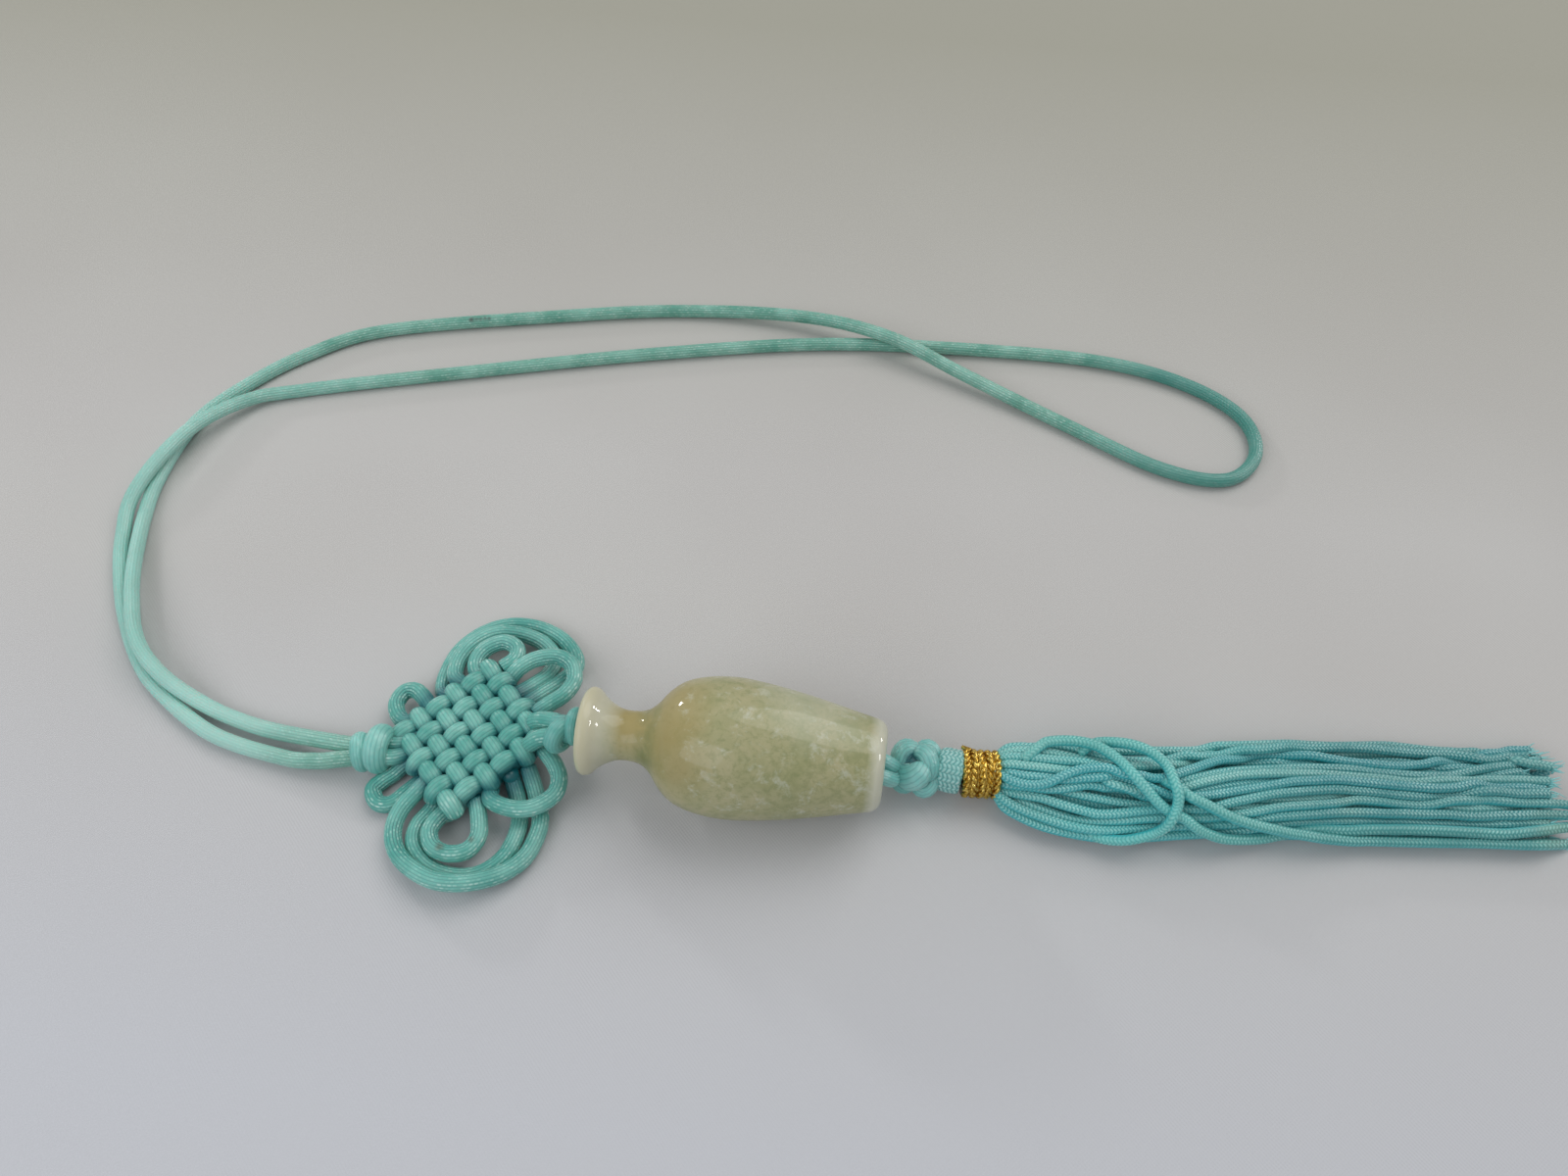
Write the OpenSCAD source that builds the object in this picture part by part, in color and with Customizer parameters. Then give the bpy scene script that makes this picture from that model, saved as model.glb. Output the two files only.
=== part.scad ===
// Tassel necklace: a satin cord loop, a woven butterfly knot, a small glazed vase and a long tassel.
// X runs along the vase from its mouth to the tassel, Z is up and the surface that it lies on is z = 0.

/* [Satin cord] */
// Thickness of the satin cord of the knots
cord_d = 2.5; // [2.4:0.05:2.5]
// Thickness of the satin cord of the neck loop, which is pulled a little thinner
neck_cord_d = 2.4; // [2.2:0.05:2.4]
// Sides of the polygon that the cord is swept with
cord_sides = 8; // [8:1:10]

/* [Butterfly knot] */
// Height of the woven body's middle above the surface, at its left corner
weave_low = 2.6; // [2.5:0.1:2.8]
// Height of the woven body's middle above the surface, at its right corner
weave_high = 4.3; // [4:0.1:4.6]
// Height of the whole knot, once its cords are pressed together
knot_h = 10.2; // [10:0.1:10.4]

/* [Vase] */
// Length of the vase from the middle of its rolled lip to its base
vase_l = 42; // [41:0.5:43]
// Diameter of the vase at its belly
belly_d = 20; // [19.6:0.2:20.4]
// Thickness of the glazed wall
vase_wall = 1.9; // [1.6:0.1:2]
// Diameter of the bore that the two cords pass through
bore_d = 5.6; // [5.4:0.1:5.8]

/* [Small knots] */
// Width of the knot that gathers the neck loop
top_knot_w = 7.4; // [7:0.1:7.6]
// Width of the knot that closes the vase's mouth
mouth_knot_w = 6.4; // [6.2:0.1:6.6]
// Width of the button knot under the vase
button_w = 9.2; // [9:0.1:9.4]

/* [Tassel] */
// Diameter of the knitted head of the tassel
head_d = 6.6; // [6.4:0.1:6.8]
// Diameter of the gold thread binding
binding_d = 7.2; // [7:0.1:7.4]
// Turns of gold thread
binding_turns = 5; // [4:1:6]
// Height of the tassel as it lies, with the loose strands on it
tassel_h = 9.3; // [9.1:0.1:9.5]
// Locks that lie on the surface
low_locks = 7; // [6:1:8]
// Locks that lie on top of them
high_locks = 6; // [5:1:6]
// Thickness of one strand of the tassel
strand_d = 1.5; // [1.4:0.1:1.6]

/* [Hidden] */

SATIN = "mediumaquamarine";
cord_r = cord_d / 2;
// Clear space between pieces that meet
gap = 0.1;
// Clear space before the end of a cord that slants, so that its tilted end face stays clear
slant_gap = 0.55;
// Steps between two points of a route
route_cuts = 2;

// Places are first written from the middle of the vase's mouth. The whole is then moved so that
// the middle of its length and width, without the neck loop, stands at the origin.
left_end = -36.4;
right_end = 138.5;
front_edge = -23.6;
back_edge = 22.9;
middle = [(left_end + right_end) / 2, (front_edge + back_edge) / 2, 0];
axis_z = belly_d / 2;

// The neck loop's route, from the front of the top knot round to its back: along, across, height
neck_route = [
    [-37, -6.1, 3.3], [-40.4, -6.4, 2.5], [-46.1, -6.1, 1.6], [-58.1, -3.6, 1.2],
    [-68.7, 2.2, 1.2], [-74.7, 7.4, 1.2], [-80.8, 15.6, 1.2], [-85.3, 23.9, 1.2],
    [-87.9, 30.5, 1.25], [-88.9, 37.1, 2.6], [-87.2, 44.9, 3.85], [-84, 54, 3.75],
    [-78.4, 62.1, 2.3], [-70.2, 66.7, 1.2], [-40, 75.8, 1.2], [-8, 84.8, 1.2], [24, 91.8, 1.2],
    [57, 94.2, 1.2], [77, 93.6, 1.2], [91, 89.5, 1.2], [99.6, 82.7, 1.2], [101.1, 74.2, 1.2],
    [95.6, 67.8, 1.2], [84.2, 69, 1.2], [67.2, 77.5, 1.2], [49.1, 86.2, 2.3], [35, 92.5, 3.75],
    [19, 97.1, 2.5], [-4, 97.1, 1.2], [-31.8, 91.5, 1.2], [-59.9, 84, 1.2], [-72.2, 76, 1.2],
    [-80.5, 66.8, 1.2], [-86, 57.1, 1.2], [-87.3, 45.5, 1.2], [-86.2, 35.4, 1.2],
    [-82.4, 23.7, 2.45], [-78.9, 16, 3.2], [-75.5, 10.3, 3.75], [-71.6, 6.2, 3.55],
    [-66.1, 2.8, 2.8], [-58.4, 0.1, 1.2], [-50.1, -1.8, 1.35], [-37.1, -3.5, 3.3]];

// The woven body: how many cords cross it each way, its middle, and the step from one crossing to
// the next along each of the two directions
weave_n = 6;
weave_middle = [-18.5, -0.2];
step_a = [2.05, 2.3];
step_b = [2.05, -2.1];
weave_half = (weave_n - 1) / 2;
// Half of the body's length along X, over which it rises towards the vase
weave_reach = 10;
weave_rise = (weave_high - weave_low) / (2 * weave_reach);
// How far a cord rises and dips at each crossing, and its thickness there as it's pressed flat
weave_swing = cord_r * 0.86;
woven_d = cord_d + 0.12;

// The knot's loops, each from one side of the body round to another: along, across, height
knot_loops = [
    // Ear at the upper left
    [[-28, 1.8, 3], [-29.4, 1.4, 3], [-30.9, 2.6, 2.8], [-31.8, 4.6, 2.6], [-31.2, 6.6, 2.6],
        [-29.6, 7, 2.8], [-27.8, 5.8, 3], [-26, 3.8, 3.2]],
    // Ear at the lower left
    [[-26, -4.2, 2.8], [-27.6, -5, 2.1], [-29, -6.3, 1.4], [-30.5, -7.9, 1.3], [-31.2, -9.4, 1.3],
        [-29.8, -11.2, 1.3], [-27.8, -11, 1.3], [-26.2, -9, 1.3], [-24.2, -6.8, 1.8]],
    // Upper wing, outer strand
    [[-23.8, 6.4, 2.8], [-25.7, 7.8, 1.8], [-26.3, 11.4, 1.3], [-25.4, 15.8, 1.3], [-22.7, 19.4, 1.3],
        [-19, 21.4, 1.3], [-14.6, 21.6, 1.3], [-10.4, 20.1, 1.3], [-7.4, 17.2, 1.4],
        [-6.8, 14.6, 1.6], [-8.4, 12, 1.8], [-10.6, 9.2, 2.4], [-12.2, 6.8, 3.2]],
    // Upper wing, inner strand
    [[-22, 8.4, 3.4], [-24, 9.8, 3.6], [-24.2, 12.8, 3.6], [-22.8, 16, 3.6], [-20, 18.4, 3.4],
        [-16.4, 19.1, 2.8], [-12.8, 18.4, 2.2], [-10.4, 16.2, 1.8], [-10.4, 13.2, 2],
        [-12, 10.4, 2.8], [-14, 8, 3.4]],
    // Curl at the top
    [[-18.4, 11.2, 3.4], [-20.6, 10.6, 4.2], [-21.2, 12.4, 4.6], [-20.2, 14.6, 4.8], [-17.8, 16, 5],
        [-15.6, 15.2, 5], [-15.4, 13.4, 4.8], [-17, 11.8, 4.4]],
    // Ear at the upper right
    [[-15.6, 9.8, 4.2], [-14.2, 11.8, 5], [-12, 13.6, 5.2], [-9, 14.4, 5.2], [-6.6, 13.4, 5],
        [-5.6, 11, 4.8], [-6.4, 8.4, 4.8], [-8.4, 6.2, 4.8], [-10.2, 4.4, 4.6]],
    // Lower wing, outer strand
    [[-22.4, -6.4, 3], [-23.8, -9.4, 3.6], [-25.6, -12.6, 3], [-26, -15.6, 2], [-24.4, -18.6, 2],
        [-21.2, -21, 2.8], [-17.2, -22.4, 3.4], [-13, -22, 3.4], [-9.2, -20, 2.6],
        [-6.8, -17, 1.7], [-5.9, -13.6, 1.3], [-6, -10.4, 1.3], [-7.6, -6.6, 1.8], [-9.4, -3.4, 3]],
    // Lower wing, inner strand
    [[-20.6, -9, 2.6], [-21.8, -11.4, 1.6], [-23.1, -14, 1.3], [-22.6, -17, 1.3], [-19.8, -19.6, 1.3],
        [-16, -20.6, 1.3], [-12.4, -19.8, 1.3], [-9.8, -17.2, 1.3], [-8.8, -13.8, 1.3],
        [-9, -10.4, 1.3], [-10.2, -7.4, 1.8], [-11.4, -5.2, 2.8]],
    // Curl at the bottom
    [[-18.6, -11, 2.8], [-20, -13, 2.8], [-20.6, -15.2, 2.8], [-19.4, -17.3, 2.8], [-17, -18, 2.8],
        [-14.6, -17.2, 2.8], [-13.6, -15, 2.8], [-14.2, -12.4, 2.8], [-15.4, -9.6, 3]],
    // Ear at the lower right
    [[-13.6, -7.8, 3.4], [-12.8, -9.8, 4], [-9.6, -10.8, 4.4], [-6.6, -10.2, 4.4], [-4.2, -8, 4.4],
        [-4, -5.4, 4.5], [-5.4, -3, 4.7], [-8, -0.6, 4.6]],
    // Two short cords to the top knot
    [[-30.3, -2.6, 3.75], [-28.8, -2.5, 3.7], [-26.4, -0.4, 2.7]],
    [[-30.3, -5, 3.75], [-28.8, -4.8, 3.7], [-26.4, -2.8, 2.7]],
    // Two short cords to the mouth knot
    [[-9.2, 2, 4.4], [-8.6, 2.1, 6.6], [-7.8, 1.5, 8.8], [-6.8, 1.3, 9.2]],
    [[-9.2, 0.2, 4.4], [-8.6, -0.6, 6.6], [-7.8, -1.2, 8.8], [-6.8, -1.3, 9.2]]];

// The small knots: where their cores begin and end, and the thickness of core and turns
top_knot_from = [-36.4, -3.6, 3.75];
top_knot_to = [-30.95, -3.6, 3.75];
top_core_d = 4.6;
top_turns = [[1.6, 2.4, 0.76, 8], [4.3, 2.9, 1, -6]];
mouth_knot_from = [-6.4, 0, axis_z - 0.6];
mouth_knot_to = [-0.8, 0, axis_z];
mouth_core_d = 4.2;
mouth_turns = [[1.8, 2.3, 0.94, 18], [3.8, 2.3, 1, -18]];
// Columns of a knot's turns: distance along the knot, thickness, share of the knot's width, and lean
AT = 0;
THICK = 1;
WIDE = 2;
LEAN = 3;

// Outline of the vase. Columns: distance from the lip as a share of the length, and radius as a
// share of the belly's
FAR = 0;
RADIUS = 1;
vase_outline = [
    [0, 0.63], [0.02, 0.605], [0.05, 0.48], [0.098, 0.376], [0.143, 0.356], [0.19, 0.392],
    [0.226, 0.51], [0.262, 0.7], [0.31, 0.86], [0.38, 0.958], [0.47, 1],
    [0.56, 0.978], [0.68, 0.905], [0.8, 0.806], [0.9, 0.71], [0.96, 0.655]];
vase_cuts = 4;
// Rounding of the rim and of the base's edge, and the base's thickness
rim_r = 0.95;
base_r = 1.9;
base_t = 2.4;
arc_cuts = 6;

// Where the pieces under the vase stand
button_at = [46.7, 3, 4.7];
head_from = [50.3, 3.4, 4.3];
head_to = [53.1, 3.55, 4.2];
binding_to = [58.7, 4, 4.1];
// The button knot's length and height, the thickness of its turns, and the core under them
button_l = 7;
button_h = 8.6;
button_turn_d = 3;
button_core_d = button_w - 2.6;
button_lean = 40;
// The two short cords from the vase's base down into the button knot
button_links = [
    [[42.6, -1.3, 10], [43.6, -1, 9.5], [44.8, 0.6, 7.8], [46.4, 2.4, 5]],
    [[42.6, 1.3, 10], [43.6, 1.7, 9.5], [44.8, 2.6, 7.8], [46.4, 3.4, 5]]];
// One gold thread's thickness, and the tassel's neck inside the turns
binding_thread = (norm(binding_to - head_to) - gap) / binding_turns;
neck_d = binding_d - 2 * binding_thread - 0.2;
neck_sides = 12;

// Sections of the tassel. Columns: along, front edge, back edge, height
ALONG = 0;
FRONT = 1;
BACK = 2;
HEIGHT = 3;
tassel_sections = [
    [59.4, 0.8, 7.6, 7.6],
    [65, -0.6, 9.6, 8.4],
    [70, -1.8, 11.2, 8.6],
    [76, -2.6, 12.4, 8.3],
    [84, -2, 12.8, 7.2],
    [98, -0.6, 14.2, 6.2],
    [112, 1.2, 16, 5.3],
    [126, 3.2, 17.8, 4.7]];
// Two layers of locks: the level of each as a share of the height, the share of the width that
// its locks fill, and how much wider and higher a lock is than its own share, so that they fuse
LOW = 0.27;
HIGH = 0.71;
high_fill = 0.9;
lock_wide = 1.25;
lock_high = 0.57;
lock_tip_wide = 0.7;
lock_tip_high = 0.3;
least_lock_h = 1.7;
lock_sides = 6;
// How far each lock's end reaches past the last section
lock_ends = [9, 6.4, 8.6, 11.6, 7.4, 10.4, 12.4, 8];
// The strand that has come loose and lies round the others: along, across, height
loose_strand = [
    [63, 7.6, 6.4], [67.4, 8.8, 7.6], [71.2, 8.6, 8.4], [74.8, 6.4, 8.6], [77.8, 3.2, 8.2],
    [80.6, 1.2, 7.2], [83.6, 0, 6], [87.4, -0.8, 4], [93, -0.6, 1.6], [98, 0.6, 1.2], [106, 2, 1.2]];
wrap_strand = [
    [70.6, 9.6, 7], [73.8, 9.6, 8.2], [77.6, 8.6, 8.5], [81, 5.8, 8.2], [83, 2.8, 7.2],
    [83.4, 0.8, 5.8], [82.6, -0.8, 4.2], [80.6, -2, 2.4], [77.6, -2.8, 1.4], [74.4, -2.4, 1],
    [71.6, -0.4, 1]];

function unit(v) = v / norm(v);
function flat(list) = [for (row = list) for (item = row) item];

// One point of the smooth curve that passes through b and c
function curve_point(a, b, c, d, t) =
    (2 * b + (c - a) * t + (2 * a - 5 * b + 4 * c - d) * t * t + (3 * b - a - 3 * c + d) * t * t * t) / 2;

// A smooth curve through all the points of a route, with the given number of steps between each two
function smooth(route, steps) = let (last = len(route) - 1) concat(
    [for (k = [0 : last - 1], m = [0 : steps - 1])
        curve_point(route[max(k - 1, 0)], route[k], route[k + 1], route[min(k + 2, last)], m / steps)],
    [route[last]]);

// Direction of a path at one of its points
function heading(path, k) = unit(path[min(k + 1, len(path) - 1)] - path[max(k - 1, 0)]);

// A closed ring of corners round one point of a path, wide and high as given
function ring(at, along, wide, high, sides) =
    let (right = unit(cross(along, [0, 0, 1])), up = cross(right, along))
    [for (s = [0 : sides - 1])
        let (turn = 360 * (s + 0.5) / sides)
        at + right * cos(turn) * wide / 2 + up * sin(turn) * high / 2];

// A solid skinned over rings of the same number of corners
module skin(rings) {
    sides = len(rings[0]);
    last = len(rings) - 1;
    walls = [for (k = [0 : last - 1], s = [0 : sides - 1])
        let (next = (s + 1) % sides)
        [k * sides + s, k * sides + next, (k + 1) * sides + next, (k + 1) * sides + s]];
    start = [for (s = [0 : sides - 1]) sides - 1 - s];
    end = [for (s = [0 : sides - 1]) last * sides + s];
    polyhedron(points = flat(rings), faces = concat(walls, [start, end]));
}

// A round cord swept along a path
module cord(path, d, sides) {
    skin([for (k = [0 : len(path) - 1]) ring(path[k], heading(path, k), d, d, sides)]);
}

// Turns a piece that was built along Z so that it lies from one place towards another
module lay_along(from, to) {
    way = to - from;
    translate(from)
        rotate([0, acos(way[2] / norm(way)), atan2(way[1], way[0])])
            children();
}

// One turn of cord round a knot of the given width
module wrap(width, d, round_cuts = 32, cord_cuts = 24) {
    rotate_extrude($fn = round_cuts)
        translate([(width - d) / 2, 0])
            circle(d = d, $fn = cord_cuts);
}

// A knot that is turns of cord, leaning to and fro, round a core
module wrapped_knot(from, to, width, core_d, turns) {
    lay_along(from, to)
        union() {
            for (turn = turns)
                translate([0, 0, turn[AT]])
                    rotate([turn[LEAN], 0, 0])
                        wrap(width * turn[WIDE], turn[THICK]);
            cylinder(d = core_d, h = norm(to - from), $fn = 40);
        }
}

// Middle of the crossing of two cords of the weave, level with the body's middle
function crossing(i, j) =
    let (flat_at = weave_middle + (i - weave_half) * step_a + (j - weave_half) * step_b)
    let (from_left = flat_at[0] - weave_middle[0] + weave_reach)
    [flat_at[0], flat_at[1], weave_low + from_left * weave_rise];

// One cord of the weave, which goes over and under the others in turn
function weave_path(row, along_a) = [for (m = [-0.5 : 0.5 : weave_n - 0.5])
    let (at = along_a ? crossing(m, row) : crossing(row, m))
    let (side = along_a ? cos(180 * (m - row)) : -cos(180 * (m - row)))
    at + [0, 0, side * weave_swing]];

module neck_cord() {
    color(SATIN)
        cord([for (p = smooth(neck_route, route_cuts)) [p[0], p[1], max(p[2], neck_cord_d / 2)]],
            neck_cord_d, cord_sides);
}

module top_knot() {
    color(SATIN)
        wrapped_knot(top_knot_from, top_knot_to, top_knot_w, top_core_d, top_turns);
}

module butterfly_knot() {
    color(SATIN)
        resize([0, 0, knot_h])
            union() {
                for (row = [0 : weave_n - 1]) {
                    cord(weave_path(row, true), woven_d, cord_sides);
                    cord(weave_path(row, false), woven_d, cord_sides);
                }
                for (route = knot_loops)
                    cord(smooth(route, route_cuts), cord_d, cord_sides);
            }
}

module mouth_knot() {
    color(SATIN)
        wrapped_knot(mouth_knot_from, mouth_knot_to, mouth_knot_w, mouth_core_d, mouth_turns);
}

// One of the two cords that run through the vase, on the front or on the back side
module pendant_cord(side) {
    off = side * (cord_r + gap / 2);
    from = mouth_knot_to[0] + 2 * gap;
    to = button_links[0][0][0] - slant_gap;
    color(SATIN)
        cord([for (k = [0 : 4]) [from + (to - from) * k / 4, off, axis_z]], cord_d, cord_sides);
}

// The vase's outer radius at a distance from its mouth is read from its outline
function vase_outer() = [for (p = smooth(vase_outline, vase_cuts))
    [p[FAR] * vase_l, p[RADIUS] * belly_d / 2]];
function arc(middle, r, from, to) = [for (k = [0 : arc_cuts])
    let (turn = from + (to - from) * k / arc_cuts)
    [middle[0] + r * cos(turn), middle[1] + r * sin(turn)]];

module vase() {
    outer = vase_outer();
    rim_at = [outer[0][FAR], outer[0][RADIUS] - rim_r];
    foot_at = [vase_l - base_r, outer[len(outer) - 1][RADIUS] - base_r - 0.2];
    floor_at = vase_l - base_t;
    inner = [for (k = [len(outer) - 1 : -1 : 0])
        if (outer[k][FAR] < floor_at) [outer[k][FAR], max(bore_d / 2, outer[k][RADIUS] - vase_wall)]];
    profile = concat(
        arc(rim_at, rim_r, 180, 90),
        [for (k = [1 : len(outer) - 1]) outer[k]],
        arc(foot_at, base_r, 75, 0),
        [[vase_l, bore_d / 2], [floor_at, bore_d / 2], [floor_at, inner[0][RADIUS]]],
        inner);
    color("darkseagreen")
        translate([0, 0, axis_z])
            rotate([0, 90, 0])
                rotate_extrude($fn = 96)
                    polygon([for (p = profile) [p[RADIUS], p[FAR]]]);
}

module button_knot() {
    color(SATIN)
        resize([0, 0, axis_z + cord_r - button_at[2] + button_h / 2])
            union() {
                translate(button_at)
                    scale([button_l / button_w, 1, button_h / button_w]) {
                        for (turned = [-1, 1])
                            rotate([0, 90, turned * button_lean])
                                wrap(button_w, button_turn_d, 24, 8);
                        rotate([0, button_lean, 0])
                            wrap(button_w, button_turn_d, 24, 8);
                        sphere(d = button_core_d, $fn = 12);
                    }
                for (link = button_links)
                    cord(smooth(link, route_cuts), cord_d, cord_sides);
            }
}

// The knitted head is a short drum with a rounded shoulder
module tassel_head() {
    long = norm(head_to - head_from) - 3 * gap;
    top_r = head_d * 0.36;
    shoulder_l = long * 0.4;
    color("paleturquoise")
        lay_along(head_from, head_to)
            rotate_extrude($fn = 48)
                polygon(concat(
                    [[0, 0]],
                    [for (k = [0 : arc_cuts])
                        let (turn = 90 * k / arc_cuts)
                        [top_r + (head_d / 2 - top_r) * sin(turn), shoulder_l * (1 - cos(turn))]],
                    [[head_d / 2, long], [0, long]]));
}

// Turns of gold thread, pressed against each other round the tassel's neck
module gold_binding() {
    thick = binding_thread * 1.2;
    color("goldenrod")
        lay_along(head_to, binding_to)
            difference() {
                union() {
                    for (k = [0 : binding_turns - 1])
                        translate([0, 0, binding_thread * (k + 0.5)])
                            wrap(binding_d, thick, 48, 20);
                    translate([0, 0, binding_thread * 0.2])
                        cylinder(d = binding_d - thick, h = binding_thread * (binding_turns - 0.4), $fn = 48);
                }
                translate([0, 0, -1])
                    cylinder(d = neck_d + 2 * gap, h = norm(binding_to - head_to) + 2, $fn = 48);
            }
}

// Path of one lock: its share of the way across, and of the way up
function lock_path(across, up, reach) = [for (k = [0 : len(tassel_sections)])
    let (row = tassel_sections[min(k, len(tassel_sections) - 1)])
    let (past = k == len(tassel_sections) ? reach : 0)
    [row[ALONG] + past,
        row[FRONT] + (row[BACK] - row[FRONT]) * across + past * 0.08,
        row[HEIGHT] * up - past * 0.06]];

// One lock of strands, as wide and as high as its share of the section
module lock(across, up, share, reach) {
    path = lock_path(across, up, reach);
    last = len(path) - 1;
    skin([for (k = [0 : last])
        let (row = tassel_sections[min(k, last - 1)])
        let (wide = (row[BACK] - row[FRONT]) * share * (k == last ? lock_tip_wide : lock_wide))
        let (high = max(row[HEIGHT] * (k == last ? lock_tip_high : lock_high), least_lock_h))
        ring(path[k] + [0, 0, max(high / 2 - path[k][2], 0)], heading(path, k), wide, high, lock_sides)]);
}

function lock_end(k) = lock_ends[k % len(lock_ends)];

// The strands: a neck inside the gold thread, two layers of locks, and two loose strands round them
module tassel() {
    neck = [head_to + [gap, 0, 0], (head_to + binding_to) / 2, binding_to + [1.6, 0.1, 0]];
    color("paleturquoise")
        resize([0, 0, tassel_h])
            union() {
                cord(neck, neck_d, neck_sides);
                for (k = [0 : low_locks - 1])
                    lock((k + 0.5) / low_locks, LOW, 1 / low_locks, lock_end(k));
                for (k = [0 : high_locks - 1])
                    lock((k + 1) / (high_locks + 1), HIGH, high_fill / high_locks, lock_end(k * 3 + 1) - 2);
                cord(smooth(loose_strand, route_cuts), strand_d, lock_sides);
                cord(smooth(wrap_strand, route_cuts), strand_d, lock_sides);
            }
}

// Moves a piece from the places that are written from the vase's mouth to the model's origin
module placed() {
    translate(-middle)
        children();
}

placed() neck_cord();
placed() top_knot();
placed() butterfly_knot();
placed() mouth_knot();
placed() pendant_cord(-1);  // pendant_cord_front
placed() pendant_cord(1);  // pendant_cord_back
placed() vase();
placed() button_knot();
placed() tassel_head();
placed() gold_binding();
placed() tassel();
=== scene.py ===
import math
from functools import partial

import bpy
import numpy as np
from bpy.props import FloatProperty, FloatVectorProperty, IntProperty, PointerProperty
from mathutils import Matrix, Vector


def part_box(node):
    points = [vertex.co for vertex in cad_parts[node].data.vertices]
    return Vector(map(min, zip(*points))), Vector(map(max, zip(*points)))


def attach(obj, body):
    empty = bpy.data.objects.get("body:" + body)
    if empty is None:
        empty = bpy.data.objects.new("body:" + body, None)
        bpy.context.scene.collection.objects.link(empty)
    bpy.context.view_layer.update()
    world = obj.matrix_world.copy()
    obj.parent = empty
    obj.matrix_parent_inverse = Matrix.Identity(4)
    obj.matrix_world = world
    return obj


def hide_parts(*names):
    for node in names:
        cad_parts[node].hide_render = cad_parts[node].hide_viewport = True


bl_info = {
    "name": "Tassel necklace",
    "version": (1, 0, 0),
    "blender": (4, 5, 0),
    "location": "View3D > Sidebar > Necklace",
    "description": "Dresses a satin cord necklace with a butterfly knot, a glazed vase and a tassel",
    "category": "Object",
}

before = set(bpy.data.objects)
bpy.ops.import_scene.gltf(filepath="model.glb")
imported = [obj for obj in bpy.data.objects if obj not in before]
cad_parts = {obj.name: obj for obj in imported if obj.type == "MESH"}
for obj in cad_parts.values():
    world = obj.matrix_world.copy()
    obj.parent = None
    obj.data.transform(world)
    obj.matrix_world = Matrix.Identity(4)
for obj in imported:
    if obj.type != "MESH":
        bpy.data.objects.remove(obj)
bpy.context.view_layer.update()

MM = 0.001
# Middle of the length and width without the neck loop, seen from the middle of the vase's mouth
MIDDLE = np.array([0.05105, -0.00035, 0])
VASE_LOW, VASE_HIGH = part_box("vase")

# Routes of the cords in millimetres from the middle of the vase's mouth: along, across and height
NECK_ROUTE = [
    (-33.6, -5.6, 3.9), (-37, -6.1, 3.3), (-40.4, -6.4, 2.5), (-46.1, -6.1, 1.6), (-58.1, -3.6, 1.2),
    (-68.7, 2.2, 1.2), (-74.7, 7.4, 1.2), (-80.8, 15.6, 1.2), (-85.3, 23.9, 1.2), (-87.9, 30.5, 1.25),
    (-88.9, 37.1, 2.6), (-87.2, 44.9, 3.85), (-84, 54, 3.75), (-78.4, 62.1, 2.3), (-70.2, 66.7, 1.2),
    (-40, 75.8, 1.2), (-8, 84.8, 1.2), (24, 91.8, 1.2), (57, 94.2, 1.2), (77, 93.6, 1.2), (91, 89.5, 1.2),
    (99.6, 82.7, 1.2), (101.1, 74.2, 1.2), (95.6, 67.8, 1.2), (84.2, 69, 1.2), (67.2, 77.5, 1.2),
    (49.1, 86.2, 2.3), (35, 92.5, 3.75), (19, 97.1, 2.5), (-4, 97.1, 1.2), (-31.8, 91.5, 1.2),
    (-59.9, 84, 1.2), (-72.2, 76, 1.2), (-80.5, 66.8, 1.2), (-86, 57.1, 1.2), (-87.3, 45.5, 1.2),
    (-86.2, 35.4, 1.2), (-82.4, 23.7, 2.45), (-78.9, 16, 3.2), (-75.5, 10.3, 3.75), (-71.6, 6.2, 3.55),
    (-66.1, 2.8, 2.8), (-58.4, 0.1, 1.2), (-50.1, -1.8, 1.35), (-37.1, -3.5, 3.3), (-33.4, -3.6, 4)]

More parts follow.
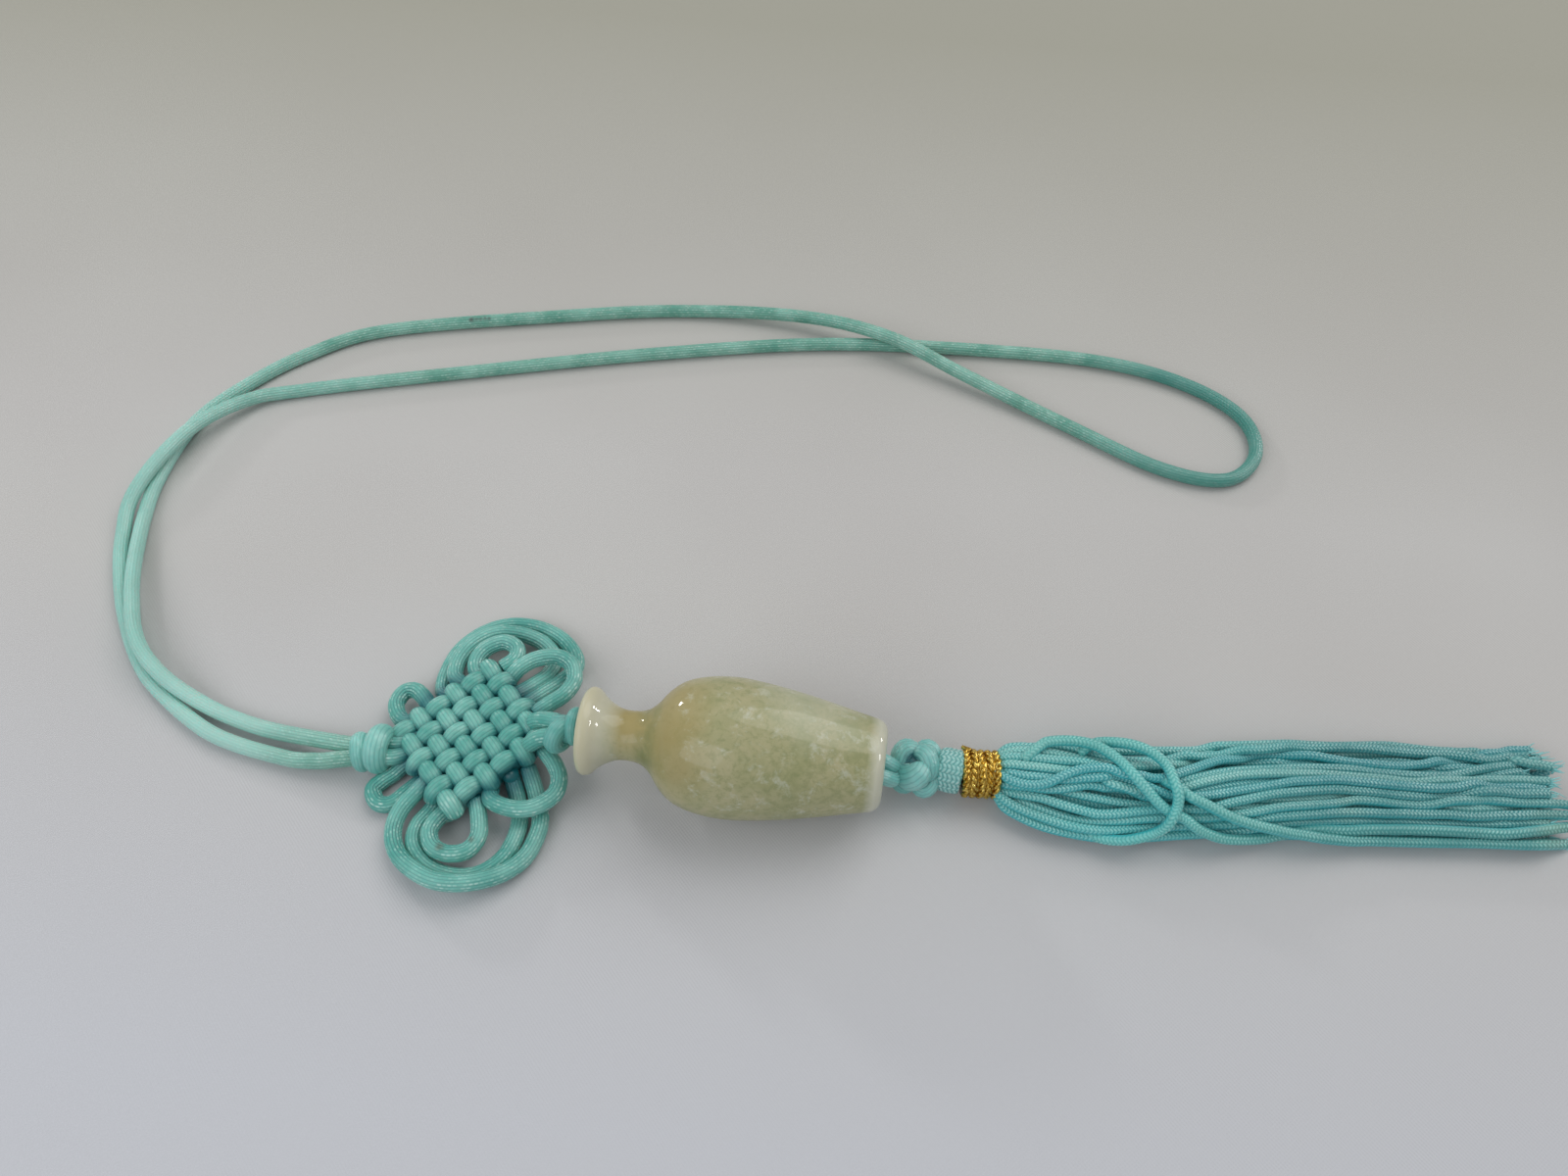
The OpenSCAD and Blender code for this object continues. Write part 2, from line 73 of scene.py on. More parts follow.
# Loops of the butterfly knot, and the cords that leave it
KNOT_LOOPS = {
    "ear at the upper left": [
        (-28, 1.8, 3), (-29.4, 1.4, 3), (-30.9, 2.6, 2.8), (-31.8, 4.6, 2.6), (-31.2, 6.6, 2.6),
        (-29.6, 7, 2.8), (-27.8, 5.8, 3), (-26, 3.8, 3.2)],
    "ear at the lower left": [
        (-26, -4.2, 2.8), (-27.6, -5, 2.1), (-29, -6.3, 1.4), (-30.5, -7.9, 1.3), (-31.2, -9.4, 1.3),
        (-29.8, -11.2, 1.3), (-27.8, -11, 1.3), (-26.2, -9, 1.3), (-24.2, -6.8, 1.8)],
    "upper wing, outer strand": [
        (-23.8, 6.4, 2.8), (-25.7, 7.8, 1.8), (-26.3, 11.4, 1.3), (-25.4, 15.8, 1.3), (-22.7, 19.4, 1.3),
        (-19, 21.4, 1.3), (-14.6, 21.6, 1.3), (-10.4, 20.1, 1.3), (-7.4, 17.2, 1.4), (-6.8, 14.6, 1.6),
        (-8.4, 12, 1.8), (-10.6, 9.2, 2.4), (-12.2, 6.8, 3.2)],
    "upper wing, inner strand": [
        (-22, 8.4, 3.4), (-24, 9.8, 3.6), (-24.2, 12.8, 3.6), (-22.8, 16, 3.6), (-20, 18.4, 3.4),
        (-16.4, 19.1, 2.8), (-12.8, 18.4, 2.2), (-10.4, 16.2, 1.8), (-10.4, 13.2, 2), (-12, 10.4, 2.8),
        (-14, 8, 3.4)],
    "curl at the top": [
        (-18.4, 11.2, 3.4), (-20.6, 10.6, 4.2), (-21.2, 12.4, 4.6), (-20.2, 14.6, 4.8), (-17.8, 16, 5),
        (-15.6, 15.2, 5), (-15.4, 13.4, 4.8), (-17, 11.8, 4.4)],
    "ear at the upper right": [
        (-15.6, 9.8, 4.2), (-14.2, 11.8, 5), (-12, 13.6, 5.2), (-9, 14.4, 5.2), (-6.6, 13.4, 5),
        (-5.6, 11, 4.8), (-6.4, 8.4, 4.8), (-8.4, 6.2, 4.8), (-10.2, 4.4, 4.6)],
    "lower wing, outer strand": [
        (-22.4, -6.4, 3), (-23.8, -9.4, 3.6), (-25.6, -12.6, 3), (-26, -15.6, 2), (-24.4, -18.6, 2),
        (-21.2, -21, 2.8), (-17.2, -22.4, 3.4), (-13, -22, 3.4), (-9.2, -20, 2.6), (-6.8, -17, 1.7),
        (-5.9, -13.6, 1.3), (-6, -10.4, 1.3), (-7.6, -6.6, 1.8), (-9.4, -3.4, 3)],
    "lower wing, inner strand": [
        (-20.6, -9, 2.6), (-21.8, -11.4, 1.6), (-23.1, -14, 1.3), (-22.6, -17, 1.3), (-19.8, -19.6, 1.3),
        (-16, -20.6, 1.3), (-12.4, -19.8, 1.3), (-9.8, -17.2, 1.3), (-8.8, -13.8, 1.3), (-9, -10.4, 1.3),
        (-10.2, -7.4, 1.8), (-11.4, -5.2, 2.8)],
    "curl at the bottom": [
        (-18.6, -11, 2.8), (-20, -13, 2.8), (-20.6, -15.2, 2.8), (-19.4, -17.3, 2.8), (-17, -18, 2.8),
        (-14.6, -17.2, 2.8), (-13.6, -15, 2.8), (-14.2, -12.4, 2.8), (-15.4, -9.6, 3)],
    "ear at the lower right": [
        (-13.6, -7.8, 3.4), (-12.8, -9.8, 4), (-9.6, -10.8, 4.4), (-6.6, -10.2, 4.4), (-4.2, -8, 4.4),
        (-4, -5.4, 4.5), (-5.4, -3, 4.7), (-8, -0.6, 4.6)],
    "first cord to the top knot": [
        (-31, -2.6, 3.75), (-28.8, -2.5, 3.7), (-26.4, -0.4, 2.7)],
    "second cord to the top knot": [
        (-31, -5, 3.75), (-28.8, -4.8, 3.7), (-26.4, -2.8, 2.7)],
    "first cord to the mouth knot": [
        (-11.6, 2.2, 4.4), (-9.8, 2.3, 5.8), (-8.2, 1.9, 7.8), (-6.8, 1.4, 9), (-5, 1.1, 9.4)],
    "second cord to the mouth knot": [
        (-11.4, -1, 4.2), (-9.8, -1.4, 5.4), (-8.2, -1.4, 7.4), (-6.8, -1.3, 8.8), (-5, -1.2, 9.4)]}

# The woven body: cords each way, its middle, and the step between crossings along each direction
WEAVE_N = 6
WEAVE_MIDDLE = np.array([-18.5, -0.2])
WEAVE_STEP_A = np.array([2.05, 2.3])
WEAVE_STEP_B = np.array([2.05, -2.1])
# Its height at the middle, the slope of the body, and how far a cord swings up and down
WEAVE_LEVEL = 3.45
WEAVE_RISE = 0.085
WEAVE_SWING = 1.3
WEAVE_CENTRE = (*WEAVE_MIDDLE, WEAVE_LEVEL)

# Turns of the small knots, and the core of each. Columns of a turn: its middle, the way that the knot
# runs, the lean to that way in degrees, the width over the turn, and the cord's thickness there
TOP_TURNS = [
    ((-34, -4.5, 3.4), (1, 0, 0), -16, 6, 2.6),
    ((-31.3, -3.9, 3.9), (1, -0.05, 0), -3, 7.4, 3.5)]
TOP_CORE = [(-35, -4.2, 3.5), (-30.4, -3.6, 3.6)]
TOP_CORE_D = 4.2
MOUTH_TURNS = [
    ((-4.2, -1, 9.4), (1, -0.1, 0.1), 24, 5.6, 2.7),
    ((-2.2, 0.5, 9.8), (1, 0, 0.1), 2, 5.6, 2.3)]
MOUTH_CORE = [(-5.4, 0, 9.4), (-0.8, 0, 10)]
MOUTH_CORE_D = 4

# Outline of the vase: distance from the lip as a share of the length, and radius as a share of
# the belly's. Then the rounding of rim and foot
VASE_OUTLINE = [
    (0, 0.63), (0.02, 0.605), (0.05, 0.48), (0.098, 0.376), (0.143, 0.356), (0.19, 0.392),
    (0.226, 0.51), (0.262, 0.7), (0.31, 0.86), (0.38, 0.958), (0.47, 1),
    (0.56, 0.978), (0.68, 0.905), (0.8, 0.806), (0.9, 0.71), (0.94, 0.675)]
RIM_R = 0.95 * MM
FOOT_R = 1.9 * MM
# Where the glaze shows ochre: place, radius and edge in millimetres, and strength
OCHRE_PATCHES = [
    ((12.5, 1.5, 17), 5.5, 3, 0.7), ((13.5, -6, 15), 5.5, 3, 0.6), ((6.6, 0.5, 12.5), 4.4, 2.2, 0.8),
    ((11.5, 6, 12), 5, 2.5, 0.5)]

# The button knot: its middle, its half sizes along, across and in depth, the way that its front
# faces, and the lobes of cord that show on that side. Columns of a lobe: place to the right and
# upward, heading from the right in degrees, half its span in degrees, thickness, and lift
BUTTON_AT = np.array([46.6, 3.3, 4.7])
BUTTON_HALF = np.array([3.6, 4.15, 4.2])
BUTTON_FACES = (0, -0.47, 0.88)
BUTTON_LOBES = [
    (-1.8, 1.5, 74, 50, 3.1, 0.7), (1.45, 1, -64, 52, 3.4, 0.5), (-0.45, -1.35, 38, 46, 4.1, 1.1),
    (1.95, -2.5, 52, 38, 2.8, 0), (-2.3, -2.1, -48, 44, 2.6, -0.2), (2.2, -0.4, 80, 40, 2.6, -0.5)]
BUTTON_LINKS = [
    [(38, -1.3, 10), (40.5, -1.3, 9.8), (42, -1.2, 9.1), (42.7, -0.9, 8.2), (43.2, -0.3, 7),
     (43.7, 0.7, 5.8), (44.4, 1.8, 4.8)],
    [(38, 1.3, 10), (40.5, 1.3, 9.8), (42, 1.2, 9.1), (42.7, 1.4, 8.2), (43.2, 1.8, 7),
     (43.7, 2.3, 5.8), (44.4, 3, 4.8)]]
BUTTON_LINK_D = 2.25
# The core's half length and radius, and how far a lobe's ends dive in and how much they thin out
BUTTON_CORE = (2.9, 2.7)
LOBE_DIVE = 0.42
LOBE_TAPER = 0.22

# The middle of the tassel's head at its two ends, and of the gold binding at its far end
HEAD_FROM = np.array([49.4, 3.9, 4.4])
HEAD_TO = np.array([53.1, 3.55, 4.2])
BINDING_TO = np.array([58.5, 4, 4.1])
# The head's radius along it: place and radius as shares. Then its columns of stitches
HEAD_SHOULDER = [(0, 0.5), (0.06, 0.74), (0.16, 0.9), (0.34, 0.985), (0.6, 1), (0.85, 0.99), (1, 0.93)]
HEAD_COLUMNS = 28
# A ply of the gold thread: its sides, its radius and its distance from the thread's middle as shares
# of a turn's width, and how often the two plies twist in one turn
PLY_SIDES = 10
PLY_RADIUS = 0.28
PLY_OFFSET = 0.22
TWISTS = 9
# Outline of the tassel. Columns: along, front edge, back edge, height
TASSEL_SECTIONS = np.array([
    (58.6, 1.7, 7.8, 6.6), (60, 0.5, 9.8, 7.7), (62, 0, 10.3, 8.4), (67, -1.3, 11.2, 8.7),
    (73, -2.2, 11.6, 8.5), (80, -2, 11.8, 7.8), (84, -1, 12.4, 7.2), (90, -0.7, 13.4, 6.6),
    (99, 0, 15, 6.1), (107, 1, 16.2, 5.6), (113, 1.8, 16.8, 5.2), (119, 2.6, 16.6, 5),
    (126, 3.7, 17, 4.8), (134, 5.5, 18.8, 4.4), (142, 6.6, 19.6, 4.2)])
# Strands of the top layer, each followed from the binding to its end
TOP_STRANDS = [
    [(58.8, 8, 5), (60.3, 8.4, 5.2), (62.1, 8.1, 5.6), (64, 8.3, 6), (65.8, 8.6, 6.2), (67.6, 8.5, 6.4),
     (69.7, 8.3, 6.4), (71.8, 7.7, 6.3), (75.1, 7.6, 6), (80.9, 8.5, 5.2), (89.6, 11.1, 4.4),
     (101.3, 14.3, 3.6), (112.8, 16, 3.2), (121.3, 16.4, 3), (127.1, 16.6, 2.6), (135.8, 17.6, 2.2)],
    [(58.7, 7.8, 4.2), (59.9, 8.8, 4.2), (61.4, 9.2, 4.2), (63.1, 8.9, 4.4), (66.2, 8.5, 4.6),
     (70.1, 9.2, 4.4), (74.5, 10.1, 4), (78.9, 11, 3.6), (87.2, 12.3, 3), (93, 13.8, 2.8),
     (100.7, 15.2, 2.6), (110.5, 16.9, 2.2), (116.3, 17.9, 2), (121.9, 17.5, 2), (126.6, 17.6, 1.9),
     (130.5, 18.3, 1.9), (134.5, 19.4, 1.8), (136.7, 20.3, 1.7)],
    [(59, 6.6, 4.8), (61.1, 7.2, 6.4), (65.3, 7, 7.2), (69.5, 6.3, 7.5), (74.8, 5.8, 7.3), (79.2, 6.9, 6.7),
     (83.3, 8.4, 5.8), (90.2, 12.9, 2.7), (93, 13.5, 2.6), (100.7, 14.7, 2.4), (108, 14.7, 3.1),
     (112, 15.6, 2.6), (117, 16.4, 2.1), (123.6, 16.6, 2), (129.4, 17.4, 1.9), (133.7, 17.1, 2.5),
     (138.7, 16.3, 2.9)],
    [(59.2, 3.4, 5.8), (61.4, 1.8, 5.4), (63.5, 1.6, 6), (65.4, 2.1, 7.1), (67.3, 3.1, 7.9), (69.4, 4, 8.1),
     (71.5, 4.7, 8.1), (73.4, 4.5, 8), (76.8, 3.7, 7.6), (81.8, 4.8, 7), (86.1, 7.8, 6.2), (88.2, 9.2, 5.7),
     (91.3, 11.1, 4.7), (94.9, 12.6, 3.8), (98.3, 13.3, 3.7), (102.1, 13.5, 3.8), (105.6, 13.2, 4.1),
     (109.3, 12.9, 4.2), (112, 12.7, 4.2), (115.8, 13.1, 4), (119.9, 14.3, 3.4), (126.4, 16.6, 2.1),
     (132.3, 18.3, 1.9), (136, 19.7, 1.9)],
    [(58.7, 5.6, 5.6), (61.1, 5.7, 7), (63.2, 5.5, 7.4), (66.3, 5.2, 7.7), (69.5, 5.4, 7.6),
     (72.7, 5.5, 7.5), (76.9, 4.8, 7.2), (81.3, 4.7, 6.7), (86.1, 6.1, 6.1), (89, 7.5, 5.7),
     (91.9, 8.5, 5.4), (95.7, 9.3, 5.2), (103.4, 11, 4.6), (107.2, 11.4, 4.4), (110.9, 11.6, 4.3),
     (115.5, 11.4, 4.1), (119.3, 11.7, 4), (123.1, 12.6, 3.8), (127.3, 14.2, 3.4), (130.4, 15.6, 3),
     (137.7, 18.6, 1.8)],
    [(58.7, 4.4, 5.8), (61.1, 4.6, 7), (64.2, 4.5, 7.5), (67.4, 4.5, 7.7), (69.9, 4.8, 7.7),
     (73.7, 3.6, 7.4), (78, 3.2, 6.9), (82.3, 3.6, 6.3), (86, 5, 6), (88.9, 6.4, 5.8), (91.8, 7.5, 5.6),
     (95.6, 8.5, 5.3), (103.2, 9.9, 4.8), (106.9, 10.1, 4.7), (110.7, 10.2, 4.5), (115.3, 10.1, 4.3),
     (119, 10.2, 4.1), (122.8, 11.1, 4), (126.7, 11.9, 3.8), (131.5, 13.1, 3.6), (136.8, 13.5, 3.5)],
    [(58.8, 3.4, 5.3), (61.2, 3.1, 6.5), (64.3, 2.9, 7.1), (67, 2.7, 7.5), (69.5, 3.4, 7.7),
     (71.6, 3.9, 7.7), (74.1, 3.9, 7.6), (78, 3.4, 7.1), (82.3, 2.8, 6.2), (86, 3.4, 5.8), (87.8, 3.9, 5.8),
     (90.6, 4.8, 5.7), (93.5, 5.8, 5.6), (96.3, 6.7, 5.5), (100.1, 8, 5.3), (104.8, 8.7, 5),
     (110.5, 9.1, 4.6), (115.1, 9.3, 4.4), (120.7, 9.9, 4.2), (128.3, 11, 4), (136.2, 12.1, 3.6)],
    [(59.5, 2.5, 4.5), (63.6, 1.6, 5.4), (66.6, 1.7, 6.3), (69.6, 2.8, 6.9), (72.7, 3.3, 7.1),
     (75.9, 3.6, 6.8), (79.8, 2.8, 6.3), (83.5, 2.8, 5.5), (86.1, 4.4, 5.7), (88.9, 5.7, 5.5),
     (91.8, 6.7, 5.4), (98.4, 8.1, 5), (105, 8.9, 4.6), (110.6, 9.3, 4.3), (115.3, 9.5, 4.1),
     (122.8, 10.6, 3.9), (130.1, 10.5, 3.6), (136.1, 11.2, 3.4)],
    [(59.7, 1.6, 3), (62.4, 1.7, 5.5), (64.3, 1.1, 5.3), (66, 0.4, 5.1), (68.2, -0.1, 4.9),
     (70.3, -0.4, 4.9), (72.2, -0.8, 4.7), (75.2, -0.5, 4.9), (79.3, 0.6, 5.7), (83.6, 1.5, 5.2),
     (88, 2, 5), (91.6, 3.6, 5.3), (94.4, 4.6, 5.4), (97.2, 5.6, 5.3), (100.9, 6.6, 5.2), (104.7, 7.6, 5),
     (107.6, 8.3, 4.8), (110.4, 8.4, 4.6), (115, 8.5, 4.4), (118.7, 8.8, 4.3), (122.5, 9.7, 4.2),
     (125.4, 10.5, 4.1), (130.1, 10.7, 3.9), (136, 11.3, 3.6)],
    [(59.5, 1.2, 2.9), (61.8, 0.7, 3.3), (63.9, -0.1, 3.4), (66.1, -0.7, 3.4), (68.2, -1.3, 3.4),
     (70.3, -1.6, 3.4), (72.4, -1.5, 3.4), (75.4, -1, 4.1), (80.5, 0, 4.7), (88.2, 0.9, 4),
     (93.6, 2.3, 4.4), (96.3, 3.3, 4.6), (99, 3.9, 4.6), (102.8, 4.7, 4.6), (105.6, 5.5, 4.5),
     (107.5, 6.3, 4.5), (109.4, 7.1, 4.5), (111.3, 7.3, 4.4), (114, 7.2, 4.2), (116.8, 7.2, 4),
     (119.6, 7.6, 4), (122.4, 8.2, 4), (125.2, 9.1, 3.9), (128, 9.4, 3.8), (130.8, 9.4, 3.6),
     (136.2, 10.6, 3.5), (139.3, 10.8, 3.4)],
    [(59.3, 0.4, 2.7), (61.9, -0.4, 3.1), (64, -1.1, 3.2), (66.1, -1.8, 3.2), (68.2, -2.3, 3.2),
     (70.7, -2.5, 3.2), (73.5, -2.4, 3.2), (78.8, -1.4, 3), (84.1, -0.1, 3), (91.9, 1.1, 3.5),
     (96.4, 2.3, 3.9), (100.1, 3.2, 4), (102.9, 3.9, 4), (110.3, 5.1, 3.7), (114.9, 5.6, 3.5),
     (122.3, 6.6, 3.4), (129.8, 7.3, 3.1), (136, 8.5, 2.9), (139.1, 8.8, 2.9)],
    [(59, 0.1, 2.3), (60.9, -0.9, 2.6), (63, -1.7, 2.7), (65.1, -2.4, 2.8), (67.2, -2.7, 2.8),
     (70.4, -3, 2.8), (73.6, -3, 2.8), (77.8, -2.4, 2.6), (83.1, -1.2, 2.4), (92.1, 0.7, 2.7),
     (97.5, 2, 3.2), (101.2, 3, 3.3), (108.6, 4.1, 3.1), (111.4, 4.5, 3), (118.8, 5.2, 2.8),
     (128, 6.4, 2.6), (136.1, 7.8, 2.4)]]
# Loose strands that lie on the others, each over the ones before it
LOOSE_STRANDS = [
    [(61.9, 6.3, 5.6), (63.8, 7.6, 7.4), (65.1, 8.1, 8.3), (68.4, 8.3, 8.9), (71.3, 7.9, 9.1),
     (73.4, 6.8, 9.2), (75.5, 5.3, 9), (77.2, 3.6, 8.7), (78.7, 2.2, 8.2), (80.3, 0.9, 7.5),
     (82.1, 0.2, 6.6), (84.5, -0.1, 5.5), (86.2, -0.5, 4.2), (88, -0.6, 3), (90.5, -0.5, 1.8),
     (93.4, 0, 1.1), (96.3, 0.7, 0.8), (98.6, 1.5, 0.8), (101.6, 2.5, 0.8), (104.6, 3, 1.2),
     (108.1, 3.2, 1.6), (111.7, 3.7, 1.9), (119, 4.6, 2), (126.3, 5.2, 2), (129.9, 5.5, 2), (133.1, 6.2, 2),
     (136.2, 7.1, 1.8), (139.7, 8.2, 1.4)],
    [(81.5, 5.6, 5.6), (83.1, 4.1, 6.8), (84.8, 2.7, 7.1), (85.6, 2.4, 7), (87.5, 1.8, 6.7),
     (89.3, 1.2, 6.3), (91.3, 0.8, 5.7), (93.2, 0.7, 5.1), (95.2, 0.7, 4.5), (97.2, 0.8, 3.9),
     (99.2, 0.9, 3.3), (102.2, 1.3, 2.3), (105.3, 1.6, 1.5), (109.1, 2, 1), (111.9, 2.5, 0.8),
     (119.3, 3.3, 0.8), (126.6, 4.2, 0.8), (133.9, 4.9, 0.8), (139.1, 5.7, 0.8)],
    [(69.8, 8.2, 5.8), (71.5, 9.2, 7.2), (73.6, 9.1, 8.4), (76.7, 8.8, 8.9), (79.4, 7.9, 8.9),
     (81.5, 6.2, 8.6), (82.5, 4.1, 8.2), (83.2, 2.3, 7.4), (83, 0.5, 6.2), (82, -1.2, 4.6), (79.8, -2.1, 3),
     (76.9, -2.7, 1.9), (73.9, -2.5, 1.1), (71.6, -1.6, 0.8), (69.8, -0.4, 0.8), (68.4, 1, 0.9)]]

# The strands are pushed apart in steps, the last ones gentle. Each keeps a hold on its wanted place
SETTLE_STEPS = 220
GENTLE_STEPS = 40
GENTLE_EASE = 0.2
HOLD_UNDER = 0.06
HOLD_TOP = 0.35
# The distance between two strands in radii, the push in each step, and the smoothing along a strand
STRAND_GAP = 1.94
PUSH_SHARE = 0.4
SMOOTHING = 0.15
# Strands in each row under the top layer, from the floor up, where the tassel leaves the binding
UNDER_ROWS = (6, 8, 7, 5)
# Columns of stitches round a strand, and the depth of its relief as a share of its radius
STRAND_COLUMNS = 8
STRAND_RELIEF = 0.05
# A loose strand is slack, so it is a little wider, with less relief
LOOSE_WIDTH = 1.12
LOOSE_RELIEF = 0.035
# It is lifted at most so far over the others, and a lift is spread over so many rows on each side
MOST_LIFT = 1.6 * MM
LIFT_SPREAD = 9
# Fibres that stand out of each cut end, and the radius of one at its root, middle and tip
FIBRES = 9
FIBRE_RADII = (0.16 * MM, 0.11 * MM, 0.05 * MM)

# Rows of corners along one stitch of a cord
ROWS_PER_STITCH = 2
# A straight cord's stitches are a little bunched up, and a bend adds to it on its inside
BUNCHED_IF_STRAIGHT = 0.3
BUNCHED_BY_BEND = 1.7
# Width of the paler and deeper patches of a cord's dye
PATCH_SIZE = 5 * MM

# The camera stands at the photograph's measured place: height, tilt and focal length
CAMERA_AT = (-0.01175, -0.08325, 0.168)
CAMERA_AHEAD = (-0.1357, 0.9907)
CAMERA_TILT = math.radians(54.4)
FRAME_WIDTH_PX = 1600
FOCAL_PX = 1290
SENSOR_MM = 36


def linear(code):
    """Linear colour, with alpha, from an sRGB hex value such as 7fc8be."""
    parts = [int(code[k:k + 2], 16) / 255 for k in (0, 2, 4)]
    return (*[p / 12.92 if p <= 0.04045 else ((p + 0.055) / 1.055) ** 2.4 for p in parts], 1)


def places(rows):
    """Places in the model's frame, in metres, from rows in millimetres from the vase's mouth."""
    return np.asarray(rows, float) * MM - MIDDLE


def smooth_line(route, step, cuts=24):
    """Evenly spaced points on the smooth curve through a route. Columns past the third go along."""
    points = np.asarray(route, float)
    last = len(points) - 1
    t = np.linspace(0, 1, cuts, endpoint=False)[:, None]
    spans = []
    for k in range(last):
        a, b, c, d = (points[i] for i in (max(k - 1, 0), k, k + 1, min(k + 2, last)))
        spans.append((2 * b + (c - a) * t + (2 * a - 5 * b + 4 * c - d) * t ** 2
                      + (3 * b - a - 3 * c + d) * t ** 3) / 2)
    fine = np.vstack(spans + [points[last:]])
    lengths = np.linalg.norm(np.diff(fine[:, :3], axis=0), axis=1)
    run = np.concatenate([[0], np.cumsum(lengths)])
    even = np.linspace(0, run[-1], max(round(run[-1] / step), 2) + 1)
    return np.stack([np.interp(even, run, column) for column in fine.T], 1)


def directions(line):
    """Side and upward directions along a line, turned no more than the line itself turns."""
    ahead = np.gradient(line, axis=0)
    ahead /= np.linalg.norm(ahead, axis=1)[:, None]
    start = (0, 0, 1) if abs(ahead[0][2]) < 0.9 else (0, 1, 0)
    carried = np.cross(ahead[0], start)
    side = np.empty_like(ahead)
    for k, way in enumerate(ahead):
        carried = carried - way * (carried @ way)
        carried /= np.linalg.norm(carried)
        side[k] = carried
    return side, np.cross(side, ahead)


def grooves(column):
    """Depth between two columns of stitches: 1 in the groove and 0 on top of a column."""
    return 1 - np.abs(np.sin(np.pi * column)) ** 0.6


def bunching(line, ways, reach):
    """How far the stitches are pushed together: 1 on the inside of a tight bend, 0 on its outside."""
    steps = np.gradient(line, axis=0)
    length = np.linalg.norm(steps, axis=1)[:, None]
    bend = np.gradient(steps / length, axis=0) / length
    kernel = np.ones(5) / 5
    bend = np.stack([np.convolve(column, kernel, "same") for column in bend.T], 1)
    return np.clip(BUNCHED_IF_STRAIGHT + BUNCHED_BY_BEND * (bend[:, None] * ways).sum(2) * reach, 0, 1)


def braided(depth, columns):
    """Relief of a satin cord: columns of long stitches, deeper between them where they bunch up."""
    def relief(rows, turn, bunched):
        column = turn * columns / (2 * np.pi)
        groove = grooves(column)
        dip = (rows + np.floor(column + 1e-6)) % 2
        return 1 - depth * (0.2 + 2.4 * bunched) * (groove + 0.3 * dip * (1 - groove))
    return relief


def knitted(depth, columns):
    """Relief of a knitted tube: two columns of stitches lie side by side in each chain of V."""
    def relief(rows, turn, bunched):
        column = turn * columns / (2 * np.pi)
        groove = grooves(column)
        dip = (rows + np.floor(column / 2 + 1e-6)) % 2
        return 1 - depth * (0.7 * groove + 0.7 * dip)
    return relief


def swept(line, radius, sides, relief=None, columns=1):
    """Corners, faces, UV and bunching of a cord. UV counts columns round it and stitches along."""
    line = np.asarray(line)[:, :3]
    side, up = directions(line)
    count = len(line)
    turn = 2 * np.pi * np.arange(sides) / sides
    rows = np.arange(count)
    reach = np.ones((count, sides)) * np.reshape(np.broadcast_to(radius, count), (count, 1))
    ways = np.cos(turn)[None, :, None] * side[:, None] + np.sin(turn)[None, :, None] * up[:, None]
    bunched = np.zeros((count, sides))
    if relief is not None:
        bunched = bunching(line, ways, reach)
        reach = reach * relief(rows[:, None], turn[None, :], bunched)
    corners = (line[:, None] + reach[..., None] * ways).reshape(-1, 3)
    k, s = np.meshgrid(rows[:-1], np.arange(sides), indexing="ij")
    k, s = k.ravel(), s.ravel()
    following = (s + 1) % sides
    quads = np.stack([k * sides + s, (k + 1) * sides + s, (k + 1) * sides + following,
                      k * sides + following], 1)
    round_at = np.stack([s, s, s + 1, s + 1], 1) * columns / sides
    along_at = np.stack([k, k + 1, k + 1, k], 1) / ROWS_PER_STITCH
    uv = np.stack([round_at, along_at], 2).reshape(-1, 2)
    start = list(range(sides))
    end = [(count - 1) * sides + i for i in reversed(range(sides))]
    cap_uv = np.concatenate([np.zeros((sides, 2)), np.tile([0, rows[-1] / ROWS_PER_STITCH], (sides, 1))])
    return corners, quads.tolist() + [start, end], np.vstack([uv, cap_uv]), bunched.ravel()


def mesh_piece(name, parts, attribute="bunched"):
    """One object from several swept parts, smooth shaded, with its UV map and its one attribute."""
    corners, faces, uvs, values, shift = [], [], [], [], 0
    for part_corners, part_faces, part_uv, part_values in parts:
        corners.append(part_corners)
        faces += [[i + shift for i in face] for face in part_faces]
        uvs.append(part_uv)
        values.append(part_values)
        shift += len(part_corners)
    mesh = bpy.data.meshes.new(name)
    mesh.from_pydata(np.vstack(corners).tolist(), [], faces)
    mesh.uv_layers.new(name="UVMap").data.foreach_set("uv", np.vstack(uvs).ravel())
    mesh.attributes.new(attribute, "FLOAT", "POINT").data.foreach_set("value", np.concatenate(values))
    mesh.shade_smooth()
    piece = bpy.data.objects.new(name, mesh)
    bpy.context.scene.collection.objects.link(piece)
    return piece


def dress(piece, material, slot, *nodes):
    """Gives a finished piece its material, and puts it in the place of its CAD nodes, if it has any."""
    piece.data.materials.clear()
    piece.data.materials.append(material)
    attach(piece, "root")
    if nodes:
        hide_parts(*nodes)


def add_node(tree, kind, inputs=(), output=0, **settings):
    """Adds a node with its settings, fills or links its inputs, and gives one output, or all for None."""
    node = tree.nodes.new("ShaderNode" + kind)
    for name, value in settings.items():
        setattr(node, name, value)
    for key, value in inputs.items() if isinstance(inputs, dict) else enumerate(inputs):
        if isinstance(value, bpy.types.NodeSocket):
            tree.links.new(value, node.inputs[key])
        else:
            node.inputs[key].default_value = value
    return node.outputs if output is None else node.outputs[output]


def new_material(name):
    """An empty material, and add_node tied to its node tree."""
    material = bpy.data.materials.new(name)
    material.use_nodes = True
    material.node_tree.nodes.clear()
    return material, partial(add_node, material.node_tree)


def layered(add, colour, *layers):
    """A colour with others laid over it in turn, each by a share, which is a number or a mask."""
    for share, code in layers:
        colour = add("Mix", {0: share, 6: colour, 7: linear(code)}, 2, data_type="RGBA")
    return colour


